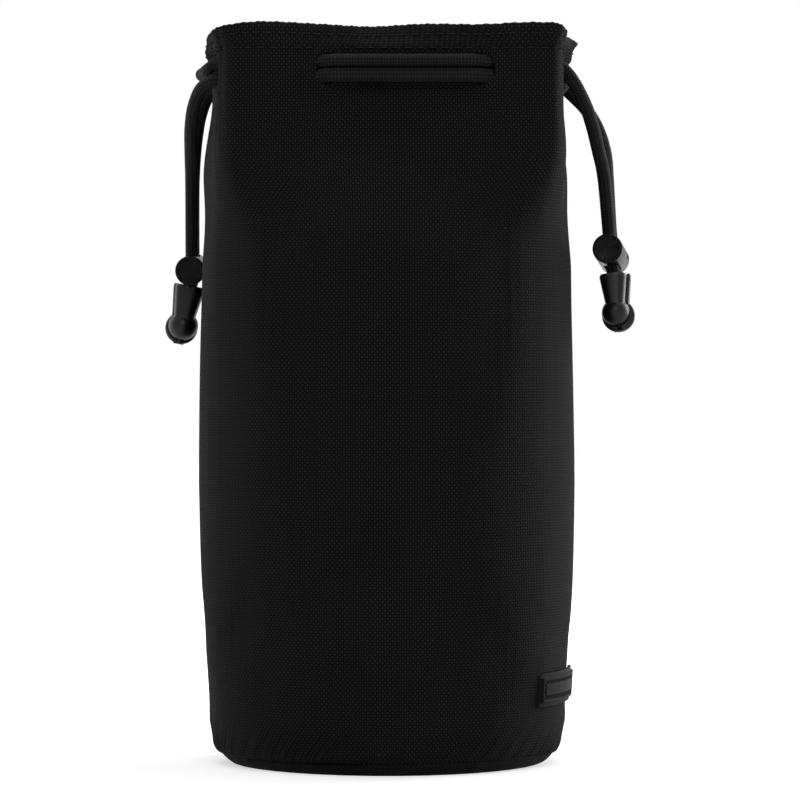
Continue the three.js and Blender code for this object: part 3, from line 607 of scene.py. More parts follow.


# Tones of warp, weft and gap: the lighter warp is a painted highlight, the dark gap is painted shade
woven_nylon = woven("woven nylon", 37, 22, 1, (0.75, 0.8), 0.35, 0.005, specular=0.03)
hem_thread = woven("sewing thread", 74, 66, 30, (0.3, 0.3), 0.03, 0.02, lint=0.0)
satin_lining = woven("satin lining", 44, 38, 26, (0.32, 0.32), 0.02, 0.1, specular=0.2, roughness=0.5)
binding_tape = woven("binding tape", 30, 24, 10, (0.6, 0.9), 0.08, 0.05)
cord_sheath = woven("braided sheath", 40, 21, 1, (1.0, 1.0), 0.2, 0.03,
                    irregularity=0.12, roughness=0.6, lint=0.0)
black_plastic = moulded("moulded black plastic", 12, 30, 0.3, 0.055, 0.35, 0.02)
satin_plastic = moulded("satin black plastic", 13, 34, 0.4, 0.2, 0.35, 0.02)
# The rubber's lighter frame edge is a painted highlight on the label's rim, as well as wear
black_rubber = moulded("label rubber", 17, 30, 0.6, 0.04, 0.25, 0.03)
coated_metal = moulded("coated metal", 30, 150, 0.3, 0.5, 0.3, 0.01, wear_and_highlight_reach=0.53, metallic=1.0)
spring_wire = moulded("spring wire", 150, 200, 0.28, 0.5, 0.3, 0.005, metallic=1.0)


def dress(piece, body, slot, *nodes):
    """Ties a piece to its body, where one is given, and hides the CAD nodes it stands in for. The slot is not
    used.
    """
    if body:
        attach(piece, body)
    if nodes:
        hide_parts(*nodes)
    return piece


# Camera, level with the middle of the pouch

camera = in_scene("camera", bpy.data.cameras.new("camera"))
camera.data.lens = 195
camera.data.sensor_width = 36
camera.data.clip_start = 0.05
camera.data.clip_end = 20
camera.location = (0.0039, -1.3, 0.1086)
camera.rotation_euler = (math.radians(90), 0, 0)
bpy.context.scene.camera = camera

# Free tails of the drawcords: from the eyelets down through the lock into the cord end

CORD_DIAMETER = 4
CORD_SPACING = 4.3
TAIL_ROUTES = {
    "left_tail_front": [
        [-48.6, -20, 203.1], [-51.3, -18.8, 203], [-54.8, -15.5, 201], [-57.3, -10, 196.4],
        [-58.7, -1.5, 190.2], [-59.2, 8.5, 183.2], [-59.4, 16.5, 176]],
    "left_tail_rear": [
        [-49.6, 22.6, 203.1], [-52.4, 24.2, 203], [-55.1, 26, 201], [-57.2, 27.6, 196],
        [-58.4, 28, 189.6], [-59.1, 27.2, 182], [-59.4, 26.2, 174.4]],
    "right_tail_front": [
        [49.4, -19.8, 207.5], [51.4, -21, 206.7], [53.4, -21.8, 204.7], [55.4, -21.5, 201.9],
        [57.5, -19.6, 198.2], [59.4, -16.5, 194.4], [61.2, -12.8, 189.4], [63, -8.4, 183],
        [64.7, -3.6, 176.6]],
    "right_tail_rear": [
        [49.6, 24.6, 207.4], [51.8, 25.6, 206.1], [54.2, 26, 204], [57.2, 25.4, 201.2],
        [60.2, 24, 198], [62.8, 22, 194], [64.9, 19, 189], [66.3, 15, 182.6], [66.6, 10.4, 175.4]]}
HANGINGS = {
    "left": {"lock": (-59.5, 24.6, 148.6), "lock_axis": (0.03, 0.995, 0.08), "lock_up": (0, -0.08, 0.997),
             "end": (-62.9, 24.4, 130.6), "end_up": (0.19, -0.03, 0.98)},
    "right": {"lock": (67.4, 0.6, 152), "lock_axis": (0.165, 0.97, -0.165), "lock_up": (-0.07, 0.178, 0.98),
              "end": (69.3, -2.9, 133.8), "end_up": (-0.075, 0.165, 0.984)}}


def frame_of(x, y, z, place):
    made = Matrix((x, y, z)).transposed().to_4x4()
    made.translation = place
    return made


def frame_at(place, axis, toward):
    y = Vector(axis).normalized()
    x = y.cross(Vector(toward)).normalized()
    return frame_of(x, y, x.cross(y), Vector(place))


def lock_frame(side):
    hanging = HANGINGS[side]
    return frame_at(hanging["lock"], hanging["lock_axis"], hanging["lock_up"])


def end_frame(side):
    hanging = HANGINGS[side]
    z = Vector(hanging["end_up"]).normalized()
    x = Vector(hanging["lock_axis"]).cross(z).normalized()
    return frame_of(x, z.cross(x), z, Vector(hanging["end"]))


# Heights over the middle of the lock and of the ball at which a tail runs straight through them
LOCK_HEIGHTS = (9, 4.5, 0, -2.25)
END_HEIGHTS = (10.4, 6.6, 3.6)


def tail_line(name, side, depth):
    offset = depth * CORD_SPACING / 2
    points = list(TAIL_ROUTES[name])
    points += [lock_frame(side) @ Vector((0, offset, height)) for height in LOCK_HEIGHTS]
    points += [end_frame(side) @ Vector((0, offset, height)) for height in END_HEIGHTS]
    points = np.array([list(point) for point in points], float)
    return curve_through(points, np.linspace(0, 1, 400), False)


tails, tail_lines = {}, {}
for side in HANGINGS:
    for place, depth in (("front", -1), ("rear", 1)):
        name = f"{side}_tail_{place}"
        tail_lines[name] = tail_line(name, side, depth)
        cord = braided_cord(f"{side}_cord_{place}", tail_lines[name], CORD_DIAMETER)
        tails[name] = dress(cord, None, "cord_braid", name)


# Drawcord held by the collar: in and out of the wall at every eyelet

CORD_OUTSIDE = 3.3
CORD_INSIDE = 4.1
BEND_RADIUS = 5.6
CROSSING_RISE = CORD_OUTSIDE + CORD_INSIDE
CROSSING_REACH = math.sqrt(BEND_RADIUS ** 2 - (BEND_RADIUS - CROSSING_RISE / 2) ** 2)
EYELET_LEVEL = BAND_BOTTOM + 1
# How far past its first eyelet and short of its last a held cord ends
END_GAP = 2.6


def held_line(level, order):
    places = [turn_at(EYELETS[eyelet]) * COLLAR_LENGTH for eyelet in order]
    places = [place + COLLAR_LENGTH if place < places[0] else place for place in places]
    length = np.arange(places[0] + END_GAP, places[-1] - END_GAP, 0.4)
    offset = np.full(len(length), -CORD_INSIDE)
    for index, place in enumerate(places[1:-1]):
        way = -1 if index % 2 else 1
        past = np.clip((length - place) * way, -CROSSING_REACH, CROSSING_REACH)
        bend = BEND_RADIUS - np.sqrt(BEND_RADIUS ** 2 - (CROSSING_REACH - abs(past)) ** 2)
        climbed = np.where(past < 0, bend, CROSSING_RISE - bend)
        offset += climbed if way > 0 else climbed - CROSSING_RISE
    turn = length / COLLAR_LENGTH
    line = outside(turn, EYELET_LEVEL) + outward(turn, EYELET_LEVEL, 0.012) * offset[:, None]
    line[:, 2] = level
    # Evened over nine points, but not at the ends, which stay in their eyelets
    padded = np.pad(line, ((4, 4), (0, 0)), mode="edge")
    smoothed = np.stack([np.convolve(padded[:, axis], np.ones(9) / 9, "valid") for axis in range(3)], axis=1)
    smoothed[:5], smoothed[-5:] = line[:5], line[-5:]
    return smoothed


# The lower cord starts at the left, half way round
from_right = list(EYELETS)
from_left = from_right[4:] + from_right[:4]
for name, level, order, diameter in (("lower", 203.3, from_left, 4.1), ("upper", 207.6, from_right, 3.5)):
    line = held_line(level, order)
    # The run that crosses the left side hangs a little between its eyelets, the lower one at the right rises
    line[:, 2] -= 1.4 * smoothstep((-line[:, 0] - 51) / 3)
    if name == "lower":
        line[:, 2] += 2.2 * smoothstep((line[:, 0] - 52) / 3)
    dress(braided_cord(f"{name}_held_cord", line, diameter), "pouch", "cord_braid", f"{name}_drawcord_loop")


# Slack of the padded wall: cloth held at its seam and its collar, a little longer than the room it has

SLACK_LOW, SLACK_HIGH = 5, 196
SLACK_CAP = 0.6
SLACK_FRAMES = 24
SLACK_SMOOTHINGS = 14
CLOTH_SETTINGS = {
    "quality": 6, "mass": 0.15, "tension_stiffness": 12, "compression_stiffness": 12, "shear_stiffness": 6,
    "bending_stiffness": 2.5, "air_damping": 4, "shrink_min": -0.014, "vertex_group_mass": "held",
    "pin_stiffness": 1, "use_pressure": True, "uniform_pressure_force": 0.6}


def simulate_slack(columns=110, rows=60):
    """How far the simulated cloth stands out of the plain wall, as rows of heights."""
    turn, height = np.meshgrid(even_turns(columns), np.linspace(SLACK_LOW, SLACK_HIGH, rows))
    rest = outside(turn, height)
    cloth = make_piece("slack_cloth", rest, grid_faces(rows, columns)[0], woven_nylon)
    held = cloth.vertex_groups.new(name="held")
    for row in range(rows):
        weight = max(0.0, 1 - row / 2, 1 - (rows - 1 - row) / 3)
        if weight:
            held.add(list(range(row * columns, (row + 1) * columns)), weight, "REPLACE")
    step = cloth.modifiers.new("cloth", "CLOTH")
    for key, value in CLOTH_SETTINGS.items():
        setattr(step.settings, key, value)
    step.settings.effector_weights.gravity = 0.15
    step.point_cache.frame_start, step.point_cache.frame_end = 1, SLACK_FRAMES
    for number in range(1, SLACK_FRAMES + 1):
        bpy.context.scene.frame_set(number)
    result = cloth.evaluated_get(bpy.context.evaluated_depsgraph_get()).to_mesh()
    settled = np.zeros(len(rest) * 3)
    result.vertices.foreach_get("co", settled)
    bpy.data.objects.remove(cloth)
    bpy.context.scene.frame_set(1)
    push = ((settled.reshape(-1, 3) / MM - rest) * outward(turn, height)).sum(axis=1).reshape(rows, columns)
    push -= push.mean()
    # The padding evens out what is smaller than a fold
    for _ in range(SLACK_SMOOTHINGS):
        padded = np.pad(push, ((1, 1), (0, 0)), mode="edge")
        around = np.roll(push, 1, axis=1) + np.roll(push, -1, axis=1) + padded[:-2] + padded[2:]
        push = (push + around / 2) / 3
    return SLACK_CAP * np.tanh(push / SLACK_CAP) * smoothstep(from_ends(rows) / 5)[:, None]


slack_field = simulate_slack()


def slack(turn, height):
    """Bulges and hollows left by the simulation, between its points by cubic weights."""
    rows, columns = slack_field.shape
    row = np.clip((height - SLACK_LOW) / (SLACK_HIGH - SLACK_LOW), 0, 1) * (rows - 1)
    column = (turn % 1) * columns
    row0, column0 = np.minimum(row.astype(int), rows - 2), column.astype(int)
    row_part, column_part = smoothstep(row - row0), smoothstep(column - column0)

    def across_row(number):
        before, after = slack_field[number, column0 % columns], slack_field[number, (column0 + 1) % columns]
        return before * (1 - column_part) + after * column_part

    return across_row(row0) * (1 - row_part) + across_row(row0 + 1) * row_part


# Padded wall

random = np.random.default_rng(11)
# Waves round the wall, waves up it, and the phases of both
RIPPLES = [
    (random.integers(2, 13), random.uniform(0.01, 0.05), random.uniform(0, 6.3), random.uniform(0, 6.3))
    for _ in range(14)]
STITCH_HEIGHTS = (POUCH_HEIGHT - 2.9, POUCH_HEIGHT - 6.6)
# Turn of the front left, where the photo shows the puckers best
PUCKER_TURN = 0.695
# Sizes of the relief: unevenness, puckers, the seam's groove and the roll above it, the hem's puff and pulls
RIPPLE, PUCKER, SEAM_GROOVE, SEAM_ROLL, HEM_PUFF, HEM_PULL = 0.05, 0.38, 0.9, 0.2, 0.16, 0.1
STITCH_GROOVE, FOLD_RIDGE, FOLD_HOLLOW, BACK_GROOVE, BACK_SWELL = 0.22, 0.45, 0.7, 0.5, 0.18


def ripples(turn, height):
    """Slow unevenness of soft cloth."""
    return sum(np.sin(2 * math.pi * waves * turn + phase) * np.sin(climb * height + rise)
               for waves, climb, phase, rise in RIPPLES)


def turn_of_x(x):
    """Turn at which the front of the collar passes an X."""
    turns = np.linspace(0.6, 0.95, 800)
    return float(np.interp(x, outside(turns, BAND_BOTTOM)[:, 0], turns))


BACK_SEAM = turn_at(0.2833)
# Cloth drawn in round the front eyelets and below the cord: turn, height, half width and height, depth
DENTS = [(turn_of_x(x), *rest) for x, *rest in (
    (-18, 210.2, 5, 2.6, 0.8), (28.5, 210.5, 6, 3, 0.9), (-18, 199.2, 8, 3.5, 0.8), (28.5, 199, 8, 3.5, 0.8),
    (4, 198.5, 22, 3.2, 0.5), (-5, 187, 26, 9, 0.7), (34, 183, 12, 14, 0.5), (-34, 191, 8, 16, 0.5))]
# Folds where the front meets the sides: turn, way to the side, and the height at which the fold fades out
SIDE_FOLDS = [(turn_at(20.4 / 30), -1, 172), (turn_at(27.8 / 30), 1, 184)]
# Where the band stands out above the cord: turn, half width, rise, and the height from which it rises
FLARES = [(turn_at(17 / 30), 9, 1.8, 206.5), (turn_at(3.9 / 30), 6, 4.4, 203.5)]


def relief(turn, height):
    """How far the cloth stands out of its plain outline."""
    push = slack(turn, height) + RIPPLE * ripples(turn, height) * smoothstep((height - 8) / 25)
    # Puckers where the wall is gathered into the base seam
    above_seam = height - SEAM_HEIGHT
    aside = apart(turn, PUCKER_TURN)
    slant = turn * CLOTH_WIDTH - 0.8 * above_seam
    pucker = np.sin(slant / 0.43) * (0.6 + 0.4 * np.sin(slant / 7.3 + 1)) + 0.8 * np.sin(slant / 1.1 + 2)
    push += PUCKER * pucker * bell(above_seam - 1.5, 5.5) * (0.4 + 0.6 * bell(aside, 0.06))
    push -= SEAM_GROOVE * bell(above_seam + 0.4, 0.8) * (0.35 + 0.65 * bell(aside, 0.12))
    push += SEAM_ROLL * bell(above_seam - 2.2, 1.6)
    # Hem: a groove under each row of stitches, a puff between them and pulls along it
    below_rim = POUCH_HEIGHT - height
    groove = STITCH_GROOVE * (0.75 + 0.25 * np.cos(2 * math.pi * turn * COLLAR_LENGTH / 3.05))
    for row in STITCH_HEIGHTS:
        push -= groove * bell(height - row, 0.5)
    push += HEM_PUFF * bell(below_rim - 5, 0.9)
    tug = np.sin(2 * math.pi * turn * 47) + 0.6 * np.sin(2 * math.pi * turn * 83 + 2)
    push += HEM_PULL * tug * bell(below_rim - 5.5, 5)
    for centre, level, wide, tall, depth in DENTS:
        push -= depth * bell(apart(turn, centre) * COLLAR_LENGTH, wide) * bell(height - level, tall)
    for centre, way, low in SIDE_FOLDS:
        along = way * apart(turn, centre) * COLLAR_LENGTH
        fold = FOLD_RIDGE * bell(along, 1.1) - FOLD_HOLLOW * bell(along - 2.7, 1.9)
        push += fold * smoothstep((height - low) / 28)
    for centre, wide, rise, low in FLARES:
        band = smoothstep((height - low) / 5.5) * smoothstep((below_rim - 0.5) / 6)
        push += rise * bell(apart(turn, centre) * COLLAR_LENGTH, wide) * band
    # Seam up the back: a groove with a swell to each side
    along = apart(turn, BACK_SEAM) * CLOTH_WIDTH
    seam = BACK_SWELL * bell(abs(along) - 2.2, 1.3) - BACK_GROOVE * bell(along, 0.5)
    push += seam * smoothstep((206 - height) / 4)
    return push


def on_wall(turns, height, inset=0.0, share=1, reach=0.03):
    """Places on the wall with a share of its relief, set in by an inset, and the ways out of it."""
    heights = np.full(len(turns), 1.0) * height
    out = outward(turns, heights, reach)
    push = share * relief(turns, heights) if share else np.zeros(len(turns))
    return outside(turns, heights) + out * (push - inset)[:, None], out


def eyelet_frame(share):
    turn = np.array([turn_at(share)])
    place = outside(turn, EYELET_LEVEL)[0]
    place[2] = CORD_LEVEL
    return frame_at(place, outward(turn, EYELET_LEVEL, 0.004)[0], (0, 0, 1))


eyelet_frames = {name: eyelet_frame(share) for name, share in EYELETS.items()}

# The taut cord draws cloth over the far edge of its eyelet: shift of the hole and its half width
DRAWN_HOLES = {"front_left": (-1.25, 3.15), "front_right": (0.75, 3.65), "back_right": (-0.9, 3.5),
               "back_left": (0.9, 3.5)}
HOLE_RADIUS = 4.3
# How far in and out of the wall a hole is cut
HOLE_REACH = 5
# The cloth is level round an eyelet and keeps its own form from here on
LEVEL_RADIUS = 9


def cut_eyelet_holes(points):
    """Which points stay round the eyelets' holes. Those next to a hole move to its edge."""
    flat = points.reshape(-1, 3)
    keep = np.ones(len(flat), bool)
    for name, matrix in eyelet_frames.items():
        shift, half_width = DRAWN_HOLES.get(name, (0, HOLE_RADIUS))
        narrow = half_width / HOLE_RADIUS
        into, back = np.array(matrix.inverted()), np.array(matrix)
        local = flat @ into[:3, :3].T + into[:3, 3]
        local[:, 0] = (local[:, 0] - shift) / narrow
        across = np.hypot(local[:, 0], local[:, 2])
        near = abs(local[:, 1]) < HOLE_REACH
        keep &= ~(near & (across < HOLE_RADIUS))
        edge = near & (across >= HOLE_RADIUS) & (across < HOLE_RADIUS + 1)
        # Round the eyelet the cloth lies over its flange and turns in at the bore
        level = near & (across < LEVEL_RADIUS)
        local[level, 1] *= 1 - 0.9 * smoothstep((LEVEL_RADIUS - across[level]) / 3)
        local[level, 1] -= 0.75 * np.clip((HOLE_RADIUS + 1.5 - across[level]) / 1.5, 0, 1) ** 2
        for axis in (0, 2):
            local[edge, axis] *= HOLE_RADIUS / across[edge]
        local[:, 0] = local[:, 0] * narrow + shift
        flat[level | edge] = (local @ back[:3, :3].T + back[:3, 3])[level | edge]
    return flat.reshape(points.shape), keep


def threads_round(columns, width):
    """Thread coordinates of columns round a sleeve, as a width of cloth in millimetres."""
    return np.arange(columns + 1) / columns * width


def run_of_profile(profile):
    """Run along a profile whose first two values are a radius or an inset and a height."""
    return run_of(np.array([(first, second, 0) for first, second, *_ in profile]))


COLUMNS = 720
# Widths of the cloth laid round each form, in whole threads but for the cup
WALL_WIDTH, CUP_WIDTH, LINING_WIDTH, TAPE_WIDTH = 351, 350.2, 307.2, 264
# Sections of the wall from the seam over the outside and round the hem: inset, height, share of the relief
outer_heights = np.concatenate([
    np.arange(SEAM_HEIGHT - 0.4, 20, 0.6), np.arange(20, 197, 1.1), np.arange(197, 217, 0.55)])
sections = [(2.2, SEAM_HEIGHT, 0), (1.7, SEAM_HEIGHT - 0.6, 0), (1.0, SEAM_HEIGHT - 0.85, 0)]
sections += [(0, height, 1) for height in outer_heights]
sections += [(0.06, 217.35, 1), (0.3, 217.8, 0.8), (0.95, 218.05, 0.4), (1.6, 217.8, 0.2), (1.9, 217.2, 0.1)]
sections += [(1.9, height, 0) for height in np.arange(216.6, 211.4, -0.65)]
sections += [(1.5, 211.2, 0), (1.1, 211.6, 0), (1.1, 215, 0)]
turns = even_turns(COLUMNS)
wall_points = np.array([on_wall(turns, height, inset, share)[0] for inset, height, share in sections])
# The folded edge of the hem is drawn up between its stitches
scallop = 0.1 * np.cos(2 * math.pi * turns * 185) + 0.07 * np.cos(2 * math.pi * turns * 71 + 1)
fold_rows = [index for index, (_, height, _) in enumerate(sections) if height > 217]
wall_points[fold_rows, :, 2] += scallop
wall_points, wall_keep = cut_eyelet_holes(wall_points)
padded_wall = grid_piece("padded_wall", wall_points, threads_round(COLUMNS, WALL_WIDTH),
                         run_of_profile(sections), woven_nylon, keep=wall_keep)
dress(padded_wall, "pouch", "woven_cloth", "outer_shell", "foam_wall")

stitch_turns = even_turns(900)
for number, (height, inner_inset) in enumerate(zip(STITCH_HEIGHTS, (1.9, 2.8)), 1):
    dress(stitch_row(f"hem_stitches_{number}", *on_wall(stitch_turns, height)), "pouch", "woven_cloth")
    line, out = on_wall(stitch_turns, height, inner_inset, 0)
    dress(stitch_row(f"hem_inner_stitches_{number}", line, -out), "pouch", "woven_cloth")
for number, offset in enumerate((-2.4, 2.4), 1):
    heights = np.arange(8, 196, 0.8)
    line, out = on_wall(np.full(len(heights), BACK_SEAM + offset / CLOTH_WIDTH), heights)
    dress(stitch_row(f"back_seam_stitches_{number}", line, out, closed=False), "pouch", "woven_cloth")

# Eyelets and washers

EYELET_BORE = 4.15
EYELET_FLANGE = EYELET_BORE + 1.2
roll = arc(EYELET_BORE + 0.62, -0.75, 0.55, 0.3, 0, math.pi, 9)
curl = arc(EYELET_BORE + 0.5, -2.1, -0.5, -0.3, 0, math.pi, 7)
eyelet_profile = [(EYELET_FLANGE, -0.95), *roll, (EYELET_BORE, -0.9), (EYELET_BORE, -2), *curl,
                  (EYELET_BORE + 0.4, -1.9), (EYELET_BORE + 0.4, -1.05), (EYELET_FLANGE, -0.95)]
washer_profile = [(4.8, -1.8), (5.9, -1.82), (6.0, -1.7), (6.0, -1.6), (5.9, -1.5), (4.8, -1.52), (4.8, -1.8)]
for name, matrix in eyelet_frames.items():
    for kind, profile in (("eyelet", eyelet_profile), ("washer", washer_profile)):
        ring = moved(turned(f"{name}_{kind}", profile, 48, coated_metal, sharp=60), matrix)
        dress(ring, "pouch", "black_metal", f"{kind}_{name}")

# Lining, its turned lap under the hem, and the floor with its binding

LINING_COLUMNS = 300
FLOOR_HEIGHT = 6.3
# Insets of the lining's outer and inner face
LINING_OUTER, LINING_INNER = 7.4, 8


def lining_relief(turn, height):
    fold = np.sin(2 * math.pi * turn * 23) * smoothstep((height - 150) / 40) * smoothstep((208 - height) / 4)
    return 0.09 * ripples(turn, 1.3 * height) + 0.35 * fold


lining_turns = even_turns(LINING_COLUMNS)
inner_heights = np.concatenate([np.arange(FLOOR_HEIGHT, 201, 3), np.arange(201, 209.6, 1.2)])
lining_sections = [
    *((LINING_OUTER, height) for height in inner_heights),
    (7.2, 209.7), (6.2, 209.9), (4, 209.9), (2.9, 210), (2.3, 210.4), (2.2, 212), (2.2, 214.2), (2.5, 214.6),
    (2.8, 214.2), (2.8, 211), (3.4, 210.6), (6.6, 210.5), (7.8, 210.3), (8, 209.6),
    *((LINING_INNER, height) for height in inner_heights[::-1])]
rows = []
for inset, height in lining_sections:
    push = np.maximum(lining_relief(lining_turns, height), -0.5) if height < 209 else 0 * lining_turns
    place, out = on_wall(lining_turns, height, inset + 0.2, 0, 0.06 if inset > 4 else 0.03)
    rows.append(place + out * push[:, None])
lining_run = run_of_profile(lining_sections)
lining = grid_piece("lining_sleeve", np.array(rows), threads_round(LINING_COLUMNS, LINING_WIDTH),
                    np.append(lining_run, lining_run[-1] + 0.6), satin_lining, looped=True)
dress(face_outward(lining), "pouch", "lining_cloth", "inner_lining")

# Beyond this radius the cup's threads run up it, within they lie flat across it
CUP_TURN_UP = 46


def revolved(name, profile, material, wobble=None, segments=180):
    """A body of revolution about the upright axis through the base, with threads laid flat across it."""
    angle = angles_round(segments)
    points = np.array([about_axis(radius + (wobble(angle, radius, height) if wobble else 0), angle, height)
                       for radius, height in profile])
    faces, corner_rows, corner_columns = grid_faces(len(profile), segments)
    flat = points[..., :2]
    run = run_of_profile(profile)[:, None]
    upright = np.stack(np.broadcast_arrays(threads_round(segments, CUP_WIDTH), run), axis=-1)
    turned_up = np.array(profile)[corner_rows, 0].min(axis=1) > CUP_TURN_UP
    threads = np.where(turned_up[:, None, None], upright[corner_rows, corner_columns],
                       flat[corner_rows, corner_columns % segments])
    threads = np.vstack([threads.reshape(-1, 2), flat[0][::-1], flat[-1]])
    faces = faces.tolist() + end_caps(len(profile), segments)
    return face_outward(make_piece(name, points, faces, material, threads))


def base_wobble(angle, radius, height):
    ripple = 0.1 * np.sin(angle * 61) + 0.12 * np.sin(angle * 37 + 1) + 0.15 * np.sin(angle * 5 + 2)
    # The cup is fuller at the front, and flush with the wall at the front right
    fuller = np.interp(height, [0, 0.5, 1.5, 2.7, 3.8], [4.9, 3.6, 2.4, 1.0, 0.2])
    fuller = fuller * bell(angle - 1.5 * math.pi, 0.8)
    fuller -= 0.9 * bell(angle - 1.4 * math.pi, 0.35) * smoothstep((height - 2.7) / 0.8)
    flush = 0.8 * bell(angle - 1.7 * math.pi, 0.3) * smoothstep(height - 2)
    return smoothstep((radius - 42) / 6) * ripple + smoothstep((radius - 42) / 2.4) * (fuller + flush)


cup_profile = [
    (0.6, 0.35), (10, 0.3), (20, 0.22), (30, 0.12), (38, 0.03), (42, 0), (43.5, 0), (44.4, 0.04), (45.4, 0.2),
    (46.3, 0.5), (47.1, 0.95), (47.8, 1.5), (48.5, 2.1), (49.1, 2.7), (49.5, 3.2), (49.6, 4), (49.5, 4.8),
    (48.8, 5.3), (47, 5.4), (40, 5.4), (20, 5.2), (0.6, 5.2)]
base_cup = revolved("base_cup", cup_profile, woven_nylon, base_wobble)
dress(base_cup, "pouch", "woven_cloth", "base_shell", "base_foam")

disc_profile = [(0.6, 6.15), (12, 6.1), (24, 6.0), (36, 5.95), (41, 5.9), (43, 5.6), (43.2, 5.45), (41, 5.42),
                (0.6, 5.42)]
dress(revolved("floor_lining", disc_profile, satin_lining), "pouch", "lining_cloth", "base_lining")

TAPE_COLUMNS = 240
tape_profile = [(38.6, 6.4), (38.5, 6.8), (39, 7.15), (41.2, 7.3), (42, 7.7), (42.35, 8.6), (42.4, 10.6),
                (42.75, 11), (43.1, 10.6), (43.1, 6.4)]
angle = angles_round(TAPE_COLUMNS)
tape_points = np.array([about_axis(radius, angle, height) for radius, height in tape_profile])
tape_run = run_of_profile(tape_profile)
binding = grid_piece("inner_binding", tape_points, threads_round(TAPE_COLUMNS, TAPE_WIDTH),
                     np.append(tape_run, tape_run[-1] + 4), binding_tape, looped=True)
dress(face_outward(binding), "pouch", "binding_tape", "base_binding")
for name, radius, height, tilt in (
        ("binding_stitches_flat", 39.9, 7.25, 1), ("binding_stitches_wall", 42.4, 9.9, 0)):
    stitches = stitch_row(name, about_axis(radius, angle, height), about_axis(tilt - 1, angle, tilt))
    dress(stitches, "pouch", "binding_tape")

# Rubber label, bare

LABEL_LENGTH, LABEL_HEIGHT = 35, 9.8
LABEL_LEVEL = 23.8
LABEL_CORNER = 1.2
# The label's frame and groove: distance from the edge, and height over the wall
LABEL_STEPS = np.array([[0, 0.3], [0.15, 0.5], [1.05, 0.5], [1.25, 1.1], [1.4, 1.2], [1.9, 1.2], [2.1, 1.08],
                        [2.25, 0.5], [3, 0.48], [3.2, 0.92], [3.4, 1.0], [40, 1.0]])
label_tilt, label_centre = math.radians(1.5), math.radians(-17)


def on_label(across, rising, out):
    across, rising, out = (np.asarray(value, float) for value in (across, rising, out))
    x, z = across - LABEL_LENGTH / 2, rising - LABEL_HEIGHT / 2
    along = x * math.cos(label_tilt) - z * math.sin(label_tilt)
    height = LABEL_LEVEL + x * math.sin(label_tilt) + z * math.cos(label_tilt)
    wall = BODY_RADIUS * np.interp(height / POUCH_HEIGHT, *BODY_PROFILE.T) + 0.25
    return about_axis(wall + out, label_centre + along / wall, height)


def label_stops(length, middle_count):
    """Stops along one way of the label, close together where its edges are stepped."""
    edge_stops = np.linspace(0, 3.6, 34)
    return np.concatenate([edge_stops, np.linspace(4, length - 4, middle_count), length - edge_stops[::-1]])


X, Z = np.meshgrid(label_stops(LABEL_LENGTH, 46), label_stops(LABEL_HEIGHT, 5))
to_end, to_side = np.minimum(X, LABEL_LENGTH - X), np.minimum(Z, LABEL_HEIGHT - Z)
corner = np.hypot(np.maximum(LABEL_CORNER - to_end, 0), np.maximum(LABEL_CORNER - to_side, 0))
in_corner = (to_end < LABEL_CORNER) & (to_side < LABEL_CORNER)
from_edge = np.where(in_corner, LABEL_CORNER - corner, np.minimum(to_end, to_side))
front = on_label(X, Z, np.interp(np.maximum(from_edge, 0), *LABEL_STEPS.T)).reshape(-1, 3)
# The front's edge is drawn back into the wall
numbers = np.arange(X.size).reshape(X.shape)
outline = [*numbers[0], *numbers[1:, -1], *numbers[-1, -2::-1], *numbers[-2:0:-1, 0]]
back = on_label(X.ravel()[outline], Z.ravel()[outline], -0.5)
first = len(front)
label_faces = grid_faces(*X.shape, closed=False)[0].tolist()
for index, number in enumerate(outline):
    after = (index + 1) % len(outline)
    label_faces.append([int(number), first + index, first + after, int(outline[after])])
label = make_piece("rubber_label", np.vstack([front, back]), label_faces, black_rubber, sharp=60)
dress(label, "pouch", "patch_rubber", "label_patch")
left, right, low, high = 2.65, 32.35, 2.65, 7.15
corners = [(left, low), (right, low), (right, high), (left, high), (left, low)]
steps = np.linspace(0, 1, 60, endpoint=False)[:, None]
loop = np.vstack([np.array(start) * (1 - steps) + np.array(finish) * steps
                  for start, finish in zip(corners, corners[1:])])
label_line = on_label(loop[:, 0], loop[:, 1], 0.5)
label_out = on_label(loop[:, 0], loop[:, 1], 1.5) - label_line
stitches = stitch_row("label_stitches", label_line, label_out,
                      length=1.5, gap=0.45, thickness=0.42, sunk=0.05)
dress(stitches, "pouch", "woven_cloth")

# Cord locks

BARREL_RADIUS = 4.5
BARREL_LENGTH = 18.5
BARREL_BORE = 3.5
BARREL_FLOOR = 1.2
PLUNGER_RADIUS = 3.2
PLUNGER_TOP = 20.9
SPRING_RADIUS, SPRING_WIRE, SPRING_FOOT, SPRING_LENGTH, SPRING_TURNS = 2.1, 0.25, 1.75, 3.1, 3
SLOT_MIDDLE = 11.0
SLOT_WIDTH = 4.6
SLOT_LENGTH = 10.8


def prism(name, outline, low, high, upright=False):
    """A cutter with an outline, drawn from low to high along Z, or along Y where the outline is upright."""
    rows = [[(x, level, y) if upright else (x, y, level) for x, y in outline] for level in (low, high)]
    return solid_of_rows(name, np.array(rows), black_plastic)


def block(name, low, high):
    """A cutter between two corners."""
    outline = [(low[0], low[1]), (high[0], low[1]), (high[0], high[1]), (low[0], high[1])]
    return prism(name, outline, low[2], high[2])


def cord_slot(start):
    """A cutter with round ends, along Y from its start, through Z."""
    radius = SLOT_WIDTH / 2
    outline = arc(0, start + radius, radius, radius, math.pi, 2 * math.pi, 17)
    outline += arc(0, start + SLOT_LENGTH - radius, radius, radius, 0, math.pi, 17)
    return prism("slot", outline, -6, 6)


def round_edge(radius, size):
    """Profile points of the rounded edge between a foot at 0 and a side at a radius."""
    return arc(radius - size, size, size, size, -math.pi / 2, 0, 5)


def round_top(radius, top, size):
    return [(r, top - place) for r, place in round_edge(radius, size)[::-1]]


